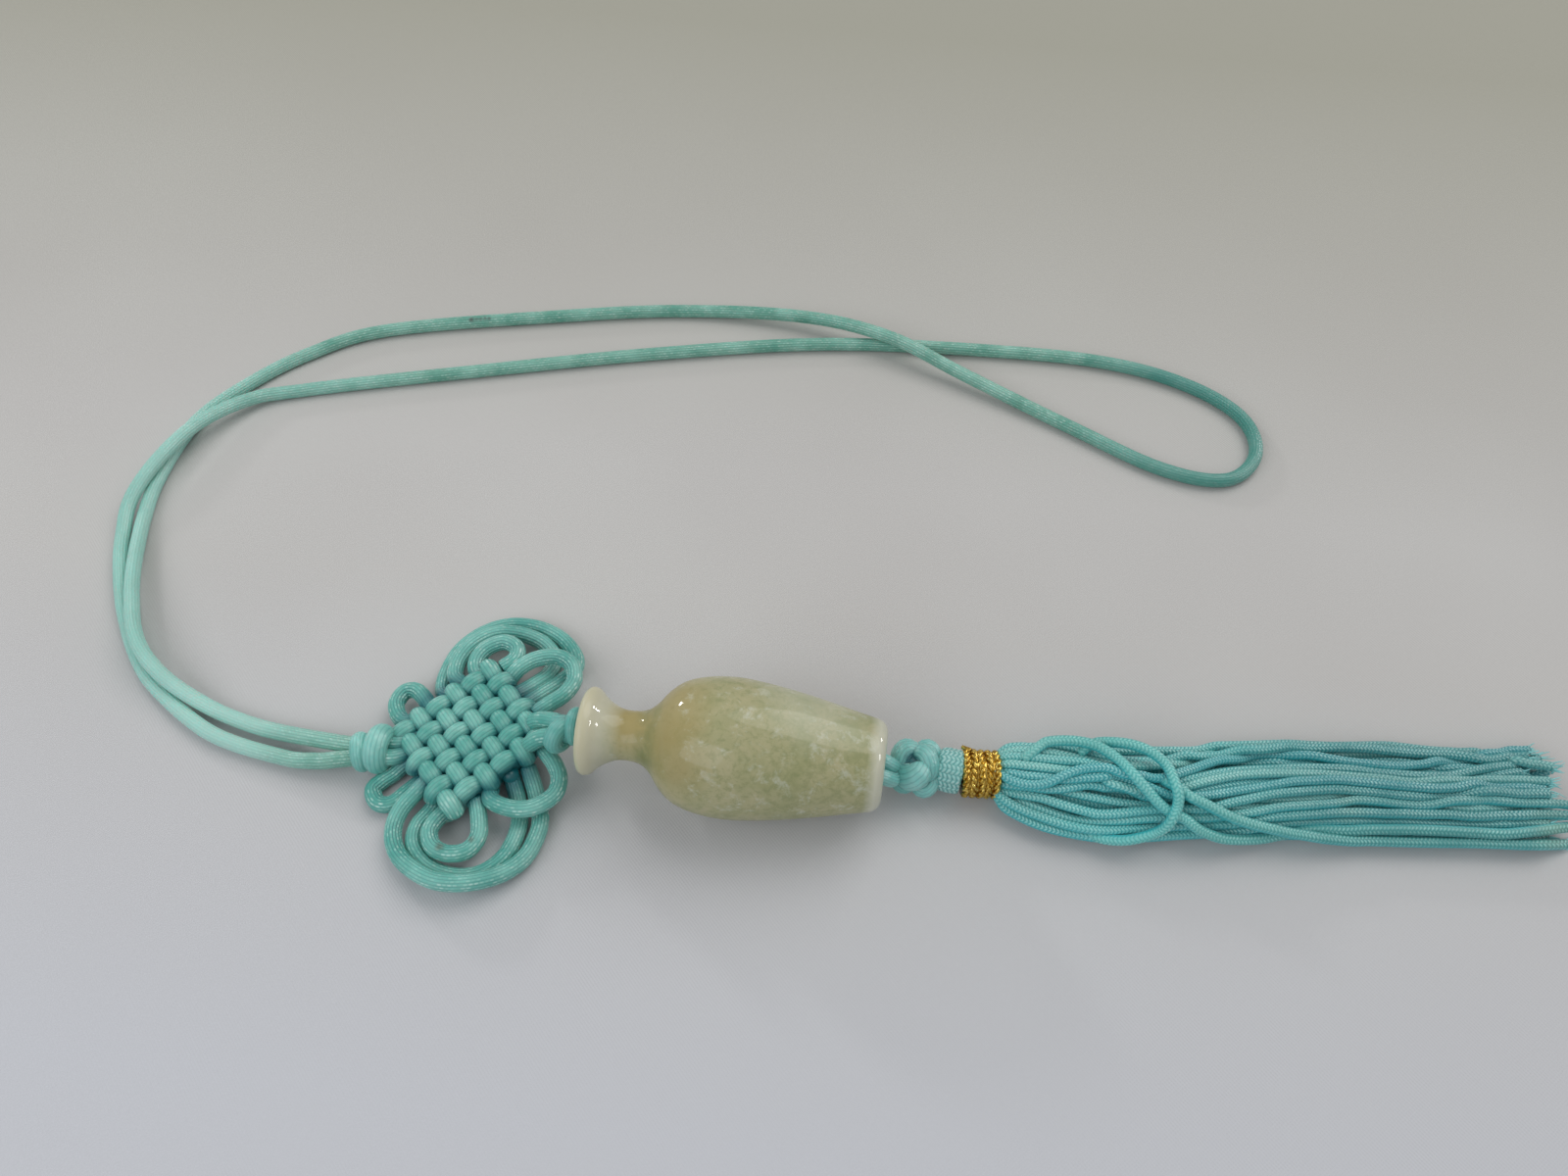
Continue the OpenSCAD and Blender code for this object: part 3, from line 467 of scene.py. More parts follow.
def spot(add, where, middle, radius, ragged):
    """A mask that is 1 round a place. The place, radius and ragged edge are in millimetres."""
    radius, ragged = radius * MM, ragged * MM
    away = add("VectorMath", (where, tuple(places([middle])[0])), "Value", operation="DISTANCE")
    lumps = add("TexNoise", {"Vector": where, "Scale": 1 / (ragged * 3), "Detail": 3.0})
    edge = add("Math", (lumps, ragged * 2, radius - ragged), operation="MULTIPLY_ADD")
    inward = add("Math", (edge, away), operation="SUBTRACT")
    return add("MapRange", (inward, -ragged * 0.5, ragged))


def with_stains_and_painted_light(add, colour, where, stains_and_painted_light):
    """Ragged spots of stain, painted light and painted shade. Columns: place, radius and edge in
    millimetres, strength, colour.
    """
    for middle, radius, ragged, strength, code in stains_and_painted_light:
        mask = spot(add, where, middle, radius, ragged)
        colour = layered(add, colour, (add("Math", (mask, strength), operation="MULTIPLY"), code))
    return colour


def wave(add, value, power):
    """A wave with one rounded hump for every 1 that the value grows."""
    turned = add("Math", (value, math.pi), operation="MULTIPLY")
    swing = add("Math", (turned,), operation="SINE")
    hump = add("Math", (swing,), operation="ABSOLUTE")
    return add("Math", (hump, power), operation="POWER")


def over_the_weave(add, where):
    """A mask that is strong on the woven body of the butterfly knot and 0 on its loops."""
    return add("Math", (spot(add, where, WEAVE_CENTRE, 11.5, 1.5), 0.9), operation="MULTIPLY")


def crevice_shade(add, where):
    """A mask for painted shade, strong low between the pads of the woven body and 0 on their tops."""
    middle = places([WEAVE_CENTRE])[0]
    x, _, z = add("SeparateXYZ", (where,), None)
    level = add("Math", (x, WEAVE_RISE, middle[2] - WEAVE_RISE * middle[0]), operation="MULTIPLY_ADD")
    over = add("Math", (z, level), operation="SUBTRACT")
    low = add("MapRange", (over, 1.3 * MM, 2.5 * MM, 1.0, 0.0))
    return add("Math", (low, over_the_weave(add, where)), operation="MULTIPLY")


def satin_cord_material(name, body, light, deep, stains_and_painted_light=(), woven=False, fibres=1.0):
    """Nylon satin, braided into a cord of long shiny stitches.

    The eye sees it smooth and pale where it is stretched, and ribbed with deep grooves in its bends.
    """
    material, add = new_material(name)
    where = add("TexCoord", output="Object")
    u, v, _ = add("SeparateXYZ", (add("UVMap", uv_map="UVMap"),), None)
    bunched = add("Attribute", output="Fac", attribute_name="bunched")
    # UV counts columns round the cord and stitches along it, and every second column is half a stitch on
    column = wave(add, u, 0.6)
    which = add("Math", (u,), operation="FLOOR")
    second = add("Math", (which, 2.0), operation="MODULO")
    along = add("Math", (second, 0.5, v), operation="MULTIPLY_ADD")
    stitch = wave(add, along, 0.7)
    # Single stitches catch the light more than their neighbours, and some of them get a painted highlight
    cell = add("CombineXYZ", (which, add("Math", (along,), operation="FLOOR")))
    chance = add("TexWhiteNoise", {"Vector": cell}, "Value", noise_dimensions="2D")
    lumps = add("TexNoise", {"Vector": where, "Scale": 1 / PATCH_SIZE, "Detail": 3.0})
    patches = add("MapRange", (lumps, 0.35, 0.65))
    # Painted shade: deep colour lies in the grooves, which open where the stitches bunch up, and at the
    # stitches' ends
    groove = add("MapRange", (column, 0.1, 0.75, 1.0, 0.0))
    opened = add("MapRange", (bunched, 0.1, 0.6, 0.4, 1.0))
    depth = add("Math", (groove, opened), operation="MULTIPLY")
    end = add("MapRange", (stitch, 0.0, 0.6, 0.3, 0.0))
    ends = add("Math", (end, bunched), operation="MULTIPLY")
    # Painted highlights of fibres that catch the light: a few everywhere, and many where a bend bunches the
    # cord up or stretches it
    taut = add("MapRange", (bunched, 0.02, 0.2, 0.35 * fibres, 0.0))
    ribbed = add("MapRange", (bunched, 0.3, 0.8, 0.2 * fibres, 0.75))
    share = add("Math", (ribbed, taut), operation="ADD")
    if woven:
        loops = add("Math", (1.0, over_the_weave(add, where)), operation="SUBTRACT")
        share = add("Math", (share, loops), operation="MULTIPLY")
    crown = add("MapRange", (column, 0.7, 1.0))
    bright = add("MapRange", (chance, 0.35, 1.0))
    tops = add("Math", (crown, bright), operation="MULTIPLY")
    tops = add("Math", (tops, share), operation="MULTIPLY")
    tops = add("Math", (tops, stitch), operation="MULTIPLY")
    # Patches of dye, then painted shade in the grooves and at the stitch ends, then painted highlights on
    # the crowns
    colour = layered(add, body, (patches, light), (depth, deep), (ends, deep), (tops, "e6faf2"))
    colour = with_stains_and_painted_light(add, colour, where, stains_and_painted_light)
    # Painted shade low between the pads of the woven body
    if woven:
        colour = layered(add, colour, (crevice_shade(add, where), deep))
    ribs = add("Math", (column, 0.8), operation="MULTIPLY")
    height = add("Math", (stitch, 0.55, ribs), operation="MULTIPLY_ADD")
    shader = add("BsdfPrincipled", {
        "Base Color": colour, "Roughness": add("MapRange", (chance, 0.0, 1.0, 0.48, 0.34)),
        "Normal": add("Bump", {"Height": height, "Strength": 0.75, "Distance": 0.06 * MM}),
        "Tangent": add("Tangent", direction_type="UV_MAP", uv_map="UVMap"), "Anisotropic": 0.55,
        "IOR": 1.55, "Specular IOR Level": 0.7 if woven else 0.85,
        "Subsurface Weight": 0.45, "Subsurface Radius": (0.15, 1.0, 0.95), "Subsurface Scale": 0.8 * MM,
        "Sheen Weight": 0.08 if woven else 0.22, "Sheen Roughness": 0.45, "Sheen Tint": linear("d4fbf2")})
    add("OutputMaterial", (shader,), None)
    return material


def knitted_cord_material(name, body, light, deep, stains_and_painted_light=(), columns=0, relief=0.12 * MM, veils=()):
    """Rayon, knitted into a tube of V stitches in chains. Columns are given for the strands alone.

    The eye sees bright dots on top of each strand, and clear saturated blue low on its sides.
    """
    material, add = new_material(name)
    where = add("TexCoord", output="Object")
    u, v, _ = add("SeparateXYZ", (add("UVMap", uv_map="UVMap"),), None)
    # Two columns make a chain of V, and every second chain is half a stitch on
    from_point = add("Math", (u, 1.0), operation="PINGPONG")
    slanted = add("Math", (from_point, -0.55, v), operation="MULTIPLY_ADD")
    half = add("Math", (u, 0.5), operation="MULTIPLY")
    chain = add("Math", (half,), operation="FLOOR")
    second = add("Math", (chain, 2.0), operation="MODULO")
    along = add("Math", (second, 0.5, slanted), operation="MULTIPLY_ADD")
    leg = add("Math", (wave(add, u, 0.6), 0.5, 0.5), operation="MULTIPLY_ADD")
    height = add("Math", (wave(add, along, 1.1), leg), operation="MULTIPLY")
    lumps = add("TexNoise", {"Vector": where, "Scale": 1 / PATCH_SIZE, "Detail": 3.0})
    patches = add("MapRange", (lumps, 0.35, 0.65, 0.45 * 0.75, 0.75))
    colour = with_stains_and_painted_light(add, body, where, stains_and_painted_light)
    if columns:
        # Each strand has one tone of its own, from bluish to pale
        tone = add("Attribute", output="Fac", attribute_name="tone")
        colour = layered(add, colour, (add("MapRange", (tone, 0.5, 1.0, 0.0, 0.4)), "a0dccf"),
                         (add("MapRange", (tone, 0.0, 0.5, 0.5, 0.0)), "1fa2b0"))
    # Painted shade low between the stitches, and painted highlights on their tops
    low = add("MapRange", (height, 0.05, 0.5, 0.65, 0.0))
    high = add("MapRange", (height, 0.5, 0.9))
    tops = add("Math", (high, patches), operation="MULTIPLY")
    colour = with_stains_and_painted_light(add, layered(add, colour, (low, deep), (tops, light)), where, veils)
    # Painted light: a strand's sides and underside take the saturated blue that light bouncing between the
    # strands gives them
    if columns:
        angle = add("Math", (u, 2 * math.pi / columns), operation="MULTIPLY")
        upness = add("Math", (angle,), operation="SINE")
        colour = layered(add, colour, (add("MapRange", (upness, 0.0, 0.7, 0.8, 0.0)), "26bcc4"))
    shader = add("BsdfPrincipled", {
        "Base Color": colour, "Roughness": 0.42, "IOR": 1.5, "Specular IOR Level": 0.7,
        "Normal": add("Bump", {"Height": height, "Strength": 0.8, "Distance": relief}),
        "Subsurface Weight": 0.35, "Subsurface Radius": (0.3, 1.0, 1.0), "Subsurface Scale": 0.5 * MM,
        "Sheen Weight": 0.2, "Sheen Roughness": 0.4, "Sheen Tint": linear("e6ffff")})
    add("OutputMaterial", (shader,), None)
    return material


def fibre_material():
    """Loose rayon fibres where a strand is cut. The eye sees them pale, thin and half shiny."""
    material, add = new_material("loose_rayon_fibres")
    shader = add("BsdfPrincipled", {
        "Base Color": linear("8ed6d6"), "Roughness": 0.45, "Specular IOR Level": 0.6})
    add("OutputMaterial", (shader,), None)
    return material


def glaze_material(cream, sage):
    """Stoneware under a glossy glaze that ran and pooled in the kiln.

    The eye sees waxy cream mottled with sage, ochre where the glaze is thin, and one clear gloss.
    """
    material, add = new_material("mottled_stoneware_glaze")
    where = add("TexCoord", output="Object")
    along = add("MapRange", (add("SeparateXYZ", (where,)), VASE_LOW.x + RIM_R, VASE_HIGH.x))
    # Every pattern is bent by up to 2.5 mm, as the running glaze bends it
    warp = add("TexNoise", {"Vector": where, "Scale": 1 / (4 * MM), "Detail": 3.0}, "Color")
    push = add("VectorMath", (warp, (2.5 * MM,) * 3), operation="MULTIPLY")
    bent = add("VectorMath", (where, push), operation="ADD")
    blotch, speck, streak = [
        add("TexNoise", {"Vector": bent, "Scale": 1 / (size * MM), "Detail": detail, "Roughness": rough})
        for size, detail, rough in ((4.5, 5.0, 0.6), (0.9, 4.0, 0.7), (2.6, 5.0, 0.72))]
    # Sage gathers towards the base and under the neck
    towards_base = add("MapRange", (along, 0.3, 1.0, 0.0, 0.16))
    from_neck = add("Math", (add("Math", (along, 0.21), operation="SUBTRACT"),), operation="ABSOLUTE")
    at_neck = add("MapRange", (from_neck, 0.0, 0.05, 0.2, 0.0))
    gathered = add("Math", (towards_base, at_neck), operation="ADD")
    green_at = add("Math", (blotch, gathered), operation="ADD")
    green = add("MapRange", (green_at, 0.45, 0.78))
    colour = add("Mix", {0: green, 6: cream, 7: sage}, 2, data_type="RGBA")
    speckled = add("Math", (towards_base, 0.5, speck), operation="MULTIPLY_ADD")
    colour = layered(add, colour, (add("MapRange", (speckled, 0.5, 0.66, 0.0, 0.55)), "868e5c"))
    colour = with_stains_and_painted_light(add, colour, where, [(*ochre, "a39257") for ochre in OCHRE_PATCHES])
    # A dull olive ring lies where the neck meets the shoulder
    from_ring = add("Math", (add("Math", (along, 0.205), operation="SUBTRACT"),), operation="ABSOLUTE")
    near = add("MapRange", (from_ring, 0.0, 0.05, 0.7, 0.0))
    broken = add("MapRange", (blotch, 0.35, 0.55))
    ring = add("Math", (near, broken), operation="MULTIPLY")
    # Milky streaks lie over the colours, and it is paler high on the right
    fewer = add("MapRange", (along, 0.25, 0.5, -0.08, 0.0))
    milky = add("Math", (streak, fewer), operation="ADD")
    streaks = add("MapRange", (milky, 0.54, 0.68, 0.0, 0.55))
    colour = layered(add, colour, (ring, "7c8050"), (streaks, "ccd0bf"))
    colour = with_stains_and_painted_light(add, colour, where, [((31.5, 6, 18), 8, 4, 0.38, "cdd0ba")])
    # The lip and the foot are bare cream, and the rim is a little browner
    lip = add("MapRange", (along, 0.04, 0.12, 1.0, 0.0))
    foot = add("MapRange", (along, 0.94, 0.975))
    edge = add("Math", (add("Math", (lip, foot), operation="MAXIMUM"), 0.85), operation="MULTIPLY")
    rim = add("MapRange", (along, 0.01, 0.06, 0.35, 0.0))
    colour = layered(add, colour, (edge, "d2d2bf"), (rim, "c9bd8c"))
    ripple = add("TexNoise", {"Vector": where, "Scale": 1 / (5 * MM)})
    shader = add("BsdfPrincipled", {
        "Base Color": colour, "Roughness": 0.55, "IOR": 1.5,
        "Normal": add("Bump", {"Height": ripple, "Strength": 0.2, "Distance": 0.15 * MM}),
        "Subsurface Weight": 0.15, "Subsurface Radius": (1.0, 0.9, 0.6), "Subsurface Scale": 0.9 * MM,
        "Coat Weight": 0.55, "Coat Roughness": 0.05, "Coat IOR": 1.5})
    add("OutputMaterial", (shader,), None)
    return material


def gold_material(gold):
    """Gold foil, cut narrow and wound round a core. The eye sees it sparkle where it faces a light."""
    material, add = new_material("wound_gold_foil_thread")
    where = add("TexCoord", output="Object")
    u, v, _ = add("SeparateXYZ", (add("UVMap", uv_map="UVMap"),), None)
    foil = wave(add, add("Math", (v, 0.35, u), operation="MULTIPLY_ADD"), 0.5)
    glint = add("TexNoise", {"Vector": where, "Scale": 1 / (0.5 * MM)})
    tone = layered(add, gold, (add("MapRange", (glint, 0.35, 0.65)), "ecd070"))
    gap = add("MapRange", (foil, 0.1, 0.6, 1.0, 0.0))
    height = add("Math", (glint, 0.3, foil), operation="MULTIPLY_ADD")
    shader = add("BsdfPrincipled", {
        "Base Color": layered(add, tone, (gap, "6e4c18")), "Metallic": 1.0,
        "Roughness": add("MapRange", (glint, 0.3, 0.7, 0.4, 0.22)),
        "Normal": add("Bump", {"Height": height, "Strength": 0.35, "Distance": 0.04 * MM})})
    add("OutputMaterial", (shader,), None)
    return material


def cloth_floor_material():
    """A plain cotton sheet. The eye sees it pale and matt, and its weave of threads hardly shows."""
    material, add = new_material("plain_cotton_sheet")
    where = add("TexCoord", output="Object")
    x, y, _ = add("SeparateXYZ", (where,), None)
    # Real threads are too fine to show, so these are 0.55 mm apart
    threads = []
    for side in (x, y):
        turned = add("Math", (side, 2 * math.pi / (0.55 * MM)), operation="MULTIPLY")
        threads.append(add("Math", (turned,), operation="SINE"))
    weave = add("Math", threads, operation="MULTIPLY")
    wide = add("TexNoise", {"Vector": where, "Scale": 1 / 0.08})
    # Painted light and shade: it grows cooler and brighter in front, and warmer and duller at the back,
    # where the room's light falls off
    colour = layered(add, linear("c3c1bf"), (add("MapRange", (wide, 0.3, 0.7)), "c9c8c6"),
                     (add("MapRange", (y, 0.03, -0.05)), "c9cbd1"),
                     (add("MapRange", (y, 0.06, 0.2)), "adaca0"))
    shader = add("BsdfPrincipled", {
        "Base Color": colour, "Roughness": 0.9, "Specular IOR Level": 0.2,
        "Normal": add("Bump", {"Height": weave, "Strength": 0.25, "Distance": 0.04 * MM})})
    add("OutputMaterial", (shader,), None)
    return material


def size_setting(name, description, default, low, high):
    """A length that a user may change. Its default and its bounds are given in millimetres."""
    return FloatProperty(name=name, description=description, default=default * MM, min=low * MM,
                         max=high * MM, unit="LENGTH", precision=5)


def colour_setting(name, description, default):
    """A colour that a user may change. Its default is given as a hex value."""
    return FloatVectorProperty(name=name, description=description, default=linear(default), size=4,
                               min=0, max=1, subtype="COLOR")


def power_setting(name, description, default):
    """The power of a light, in watts."""
    return FloatProperty(name=name, description=description, default=default, min=0, unit="POWER")


class CordSettings(bpy.types.PropertyGroup):
    """Sizes and colours of the satin cord."""
    thickness: size_setting("Thickness", "Diameter of the satin cord", 2.5, 1, 5)
    loop_thickness: size_setting("Loop thickness", "Diameter of the cord round the neck", 2.4, 1, 5)
    stitch: size_setting("Stitch", "Length of one stitch of the braid", 0.65, 0.3, 2)
    columns: IntProperty(name="Columns", description="Columns of stitches round the cord",
                         default=16, min=6, max=20)
    groove: FloatProperty(name="Groove", description="Depth of the grooves as a share of the radius",
                          default=0.045, min=0, max=0.3, subtype="FACTOR")
    loop_colour: colour_setting("Loop", "Colour of the cord round the neck", "5fa692")
    butterfly_colour: colour_setting("Butterfly knot", "Colour of the butterfly knot", "58aea2")
    small_knot_colour: colour_setting("Small knots", "Colour of the top and mouth knots", "6cbcb2")
    inner_colour: colour_setting("Inner cords", "Colour of the cords through the vase", "54b2a8")
    button_colour: colour_setting("Button knot", "Colour of the button knot", "6cbab4")


class VaseSettings(bpy.types.PropertyGroup):
    """Sizes and colours of the vase, apart from its outline."""
    wall: size_setting("Wall", "Thickness of the wall", 1.9, 0.8, 4)
    bore: size_setting("Bore", "Width of the hole in the base", 5.6, 2, 10)
    base: size_setting("Base", "Thickness of the base", 2.4, 1, 6)
    cream: colour_setting("Cream", "Ground colour of the glaze", "b0ab82")
    sage: colour_setting("Sage", "Colour of the mottling", "979a6a")


class TasselSettings(bpy.types.PropertyGroup):
    """Sizes and colours of the tassel and its binding."""
    strands: IntProperty(name="Strands", description="Strands that hang from the binding",
                         default=35, min=16, max=60)
    turns: IntProperty(name="Turns", description="Turns of gold thread", default=5, min=3, max=9)
    seed: IntProperty(name="Seed", description="Seed of the strands' small waves", default=11, min=0)
    strand_thickness: size_setting("Strand thickness", "Diameter of one strand", 1.4, 0.5, 3)
    stitch: size_setting("Stitch", "Length of one knitted stitch", 0.56, 0.2, 2)
    head_thickness: size_setting("Head thickness", "Diameter of the knitted head", 6.5, 4, 12)
    binding_thickness: size_setting("Binding thickness", "Diameter over the gold thread", 7.1, 4, 12)
    strand_colour: colour_setting("Strands", "Colour of the strands", "4eb8b6")
    loose_colour: colour_setting("Loose strands", "Colour of the loose strands", "60bab4")
    head_colour: colour_setting("Head", "Colour of the knitted head", "82c2bc")
    gold: colour_setting("Gold", "Colour of the gold thread", "a87c20")


class StageSettings(bpy.types.PropertyGroup):
    """The floor and the lights."""
    floor_size: FloatProperty(name="Floor size", description="Width of the floor", default=4.0, min=0.5,
                              unit="LENGTH")
    key_power: power_setting("Key light", "Power of the soft light overhead", 9.0)
    fill_power: power_setting("Fill light", "Power of the cool light in front", 2.4)
    side_power: power_setting("Side light", "Power of the low light at the left", 0.4)
    window_power: power_setting("Windows", "Power of the small window at the left", 1.6)
    room: FloatVectorProperty(name="Room", description="Colour of the light from all round",
                              default=(0.37, 0.37, 0.375), subtype="COLOR", min=0, max=1)


def rope(route, cord, radius=None, depth=1.0):
    """A satin cord along a route in metres, with its braid in relief. A fourth column is the radius."""
    route = np.asarray(route, float)
    if route.shape[1] == 3:
        route = np.column_stack([route, np.full(len(route), radius or cord.thickness / 2)])
    line = smooth_line(route, cord.stitch / ROWS_PER_STITCH)
    line[:, 2] = np.maximum(line[:, 2], line[:, 3])
    relief = braided(cord.groove * depth, cord.columns)
    return swept(line, line[:, 3], cord.columns * 3, relief, cord.columns)


def wound_turn(turn, cord):
    """One turn of cord round a knot, closed at the bottom, from a row of the turns' tables."""
    middle, way, lean, width, thick = turn
    way = np.array(way, float) / np.linalg.norm(way)
    across = np.cross((0, 0, 1), way)
    across /= np.linalg.norm(across)
    tilt = math.radians(lean)
    across = across * math.cos(tilt) + way * math.sin(tilt)
    upward = np.cross(way, np.cross((0, 0, 1), way))
    upward /= np.linalg.norm(upward)
    reach = (width - thick) / 2 * MM
    angles = np.linspace(-math.pi / 2, 1.5 * math.pi, 40)
    ring = [places([middle])[0] + reach * (across * math.cos(a) + upward * math.sin(a)) for a in angles]
    return rope(ring, cord, thick / 2 * MM, depth=0.5)


class NECKLACE_OT_stage(bpy.types.Operator):
    """Lays the floor, hangs the lights and sets up the camera"""
    bl_idname = "necklace.stage"
    bl_label = "Stage"

    def execute(self, context):
        """Builds the stage."""
        settings = context.scene.necklace_stage
        bpy.ops.object.select_all(action="DESELECT")
        bpy.ops.mesh.primitive_plane_add(size=settings.floor_size, location=(0, 0, 0))
        floor = context.object
        floor.name = "floor"
        floor.data.materials.append(cloth_floor_material())
        eye = Vector(CAMERA_AT)
        ahead = Vector((*[c * math.cos(CAMERA_TILT) for c in CAMERA_AHEAD], -math.sin(CAMERA_TILT)))
        bpy.ops.object.camera_add(location=eye, rotation=ahead.to_track_quat("-Z", "Y").to_euler())
        camera = context.object
        camera.name = "camera"
        camera.data.sensor_width = SENSOR_MM
        camera.data.lens = FOCAL_PX / FRAME_WIDTH_PX * SENSOR_MM
        camera.data.clip_start = 0.005
        context.scene.camera = camera
        self.area("soft_overhead_light", (0.52, 0.68, 1.23), 1.2, settings.key_power, (1.0, 0.985, 0.95))
        self.area("cool_front_light", (-0.45, -0.7, 0.75), 0.7, settings.fill_power, (0.9, 0.95, 1.0))
        self.area("window_at_the_left", (-0.91, 0.82, 0.44), 0.12, settings.window_power)
        # Two more windows show in the glaze alone
        for name, at, size in (("window_at_the_back_right", (0.98, 0.8, 0.3), 0.12),
                               ("window_at_the_far_right", (1.16, 0.1, 0.52), 0.18)):
            window = self.area(name, at, size, settings.window_power * 1.6)
            window.visible_diffuse = False
        low = self.area("low_light_at_the_left", (-0.42, -0.2, 0.34), 0.3, settings.side_power,
                        aim=(-0.13, 0.02, 0))
        low.visible_glossy = False
        world = bpy.data.worlds.new("pale_room")
        world.use_nodes = True
        background = world.node_tree.nodes["Background"]
        background.inputs["Color"].default_value = (*settings.room, 1)
        background.inputs["Strength"].default_value = 1.0
        context.scene.world = world
        context.scene.view_settings.view_transform = "Standard"
        return {"FINISHED"}

    def area(self, name, at, size, power, colour=(1, 1, 1), aim=(0, 0, 0)):
        """Adds a square area light that faces a place, or else the middle of the object."""
        turned = (Vector(aim) - Vector(at)).to_track_quat("-Z", "Y").to_euler()
        bpy.ops.object.light_add(type="AREA", location=at, rotation=turned)
        light = bpy.context.object
        light.name = name
        light.data.size = size
        light.data.energy = power
        light.data.color = colour
        return light


class NECKLACE_OT_neck_cord(bpy.types.Operator):
    """Lays the loop of satin cord that goes round the neck"""
    bl_idname = "necklace.neck_cord"
    bl_label = "Neck cord"

    def execute(self, context):
        cord = context.scene.necklace_cord
        route = places(NECK_ROUTE)
        radius = np.full(len(route), cord.loop_thickness / 2)
        radius[:3] = radius[-3:] = cord.thickness / 2
        piece = mesh_piece("neck_cord_braid", [rope(np.column_stack([route, radius]), cord)])
        # A thin grey mark, darker at its left end
        stains_and_painted_light = [((-44.2, 88.1, 2.1), 0.55, 0.35, 0.9, "3f4a46")]
        stains_and_painted_light += [((-44.2 + run, 88.1 + run / 4, 2.2), 0.35, 0.3, 0.8, "56625c")
                   for run in (0.9, 1.7, 2.5, 3.2)]
        # Painted shade makes the far end of the loop deeper, where less light reaches the back, and painted
        # light makes it paler and bluer at its left
        stains_and_painted_light += [((100, 82, 1), 30, 12, 0.8, "1a867c"), ((-78, 22, 1), 46, 16, 0.72, "a6dcd2"),
                   ((-60, -3, 1), 15, 8, 0.4, "c4ebe2")]
        material = satin_cord_material("nylon_satin_loop_cord", cord.loop_colour, "8fc6b5", "0c6a62",
                                       stains_and_painted_light, fibres=1.9)
        dress(piece, material, "satin_cord", "neck_cord")
        return {"FINISHED"}


class NECKLACE_OT_small_knots(bpy.types.Operator):
    """Winds the top knot and the mouth knot"""
    bl_idname = "necklace.small_knots"
    bl_label = "Top and mouth knots"

    def execute(self, context):
        """Builds each knot as turns of cord round a core."""
        cord = context.scene.necklace_cord
        # Painted shade over the mouth knot, which sits in shade at the vase's mouth
        shade = [((-3.2, 0, 9.8), 5, 1.5, 0.45, "2a9690")]
        material = satin_cord_material("nylon_satin_small_knots", cord.small_knot_colour, "90d4ca",
                                       "0c7c80", shade, fibres=0.2)
        for name, turns, core, core_d, node in (
                ("top_knot_turns", TOP_TURNS, TOP_CORE, TOP_CORE_D, "top_knot"),
                ("mouth_knot_turns", MOUTH_TURNS, MOUTH_CORE, MOUTH_CORE_D, "mouth_knot")):
            parts = [wound_turn(turn, cord) for turn in turns]
            parts.append(rope(places(core), cord, core_d / 2 * MM))
            dress(mesh_piece(name, parts), material, "satin_cord", node)
        return {"FINISHED"}


class NECKLACE_OT_butterfly_knot(bpy.types.Operator):
    """Weaves the butterfly knot's body and lays its wings, ears and curls"""
    bl_idname = "necklace.butterfly_knot"
    bl_label = "Butterfly knot"

    def execute(self, context):
        """Builds the woven cords and the loops as one piece."""
        cord = context.scene.necklace_cord
        parts = [rope(self.woven(row, along_a, cord), cord, depth=0.7)
                 for row in range(WEAVE_N) for along_a in (True, False)]
        parts += [rope(places(route), cord) for route in KNOT_LOOPS.values()]
        dots = [((-18.2, -17.6, 4), 0.7, 0.4, 0.6, "5e4a34"), ((-14.1, -16, 4), 0.5, 0.3, 0.5, "5e4a34")]
        material = satin_cord_material("nylon_satin_knot_cord", cord.butterfly_colour, "84cabe", "006872",
                                       dots, woven=True, fibres=1.4)
        dress(mesh_piece("butterfly_knot_cords", parts), material, "satin_cord", "butterfly_knot")
        return {"FINISHED"}

    def woven(self, row, along_a, cord):
        """Route of one woven cord, plump where it passes over another. The last column is the radius."""
        steps = np.linspace(-0.5, WEAVE_N - 0.5, WEAVE_N * 8 + 1)
        half = (WEAVE_N - 1) / 2
        i, j = (steps, np.full_like(steps, row)) if along_a else (np.full_like(steps, row), steps)
        flat = WEAVE_MIDDLE + np.outer(i - half, WEAVE_STEP_A) + np.outer(j - half, WEAVE_STEP_B)
        level = WEAVE_LEVEL + (flat[:, 0] - WEAVE_MIDDLE[0]) * WEAVE_RISE
        swing = np.cos(np.pi * (steps - row)) * (1 if along_a else -1)
        lift = np.tanh(2 * swing) / np.tanh(2)
        radius = cord.thickness / 2 * (1.02 + 0.2 * np.clip(swing, 0, 1))
        return np.column_stack([places(np.column_stack([flat, level + lift * WEAVE_SWING])), radius])


class NECKLACE_OT_pendant_cords(bpy.types.Operator):
    """Runs the two cords through the vase"""
    bl_idname = "necklace.pendant_cords"
    bl_label = "Cords through the vase"

    def execute(self, context):
        """Builds the front and the back cord."""
        cord = context.scene.necklace_cord
        material = satin_cord_material("nylon_satin_inner_cord", cord.inner_colour, "76c8be", "007478")
        for side, end in ((-1, "front"), (1, "back")):
            across = side * 1.3
            line = places([(-0.8 + 5 * k, across, 10) for k in range(9)])
            dress(mesh_piece("pendant_cord_braid_" + end, [rope(line, cord)]), material, "satin_cord",
                  "pendant_cord_" + end)
        return {"FINISHED"}


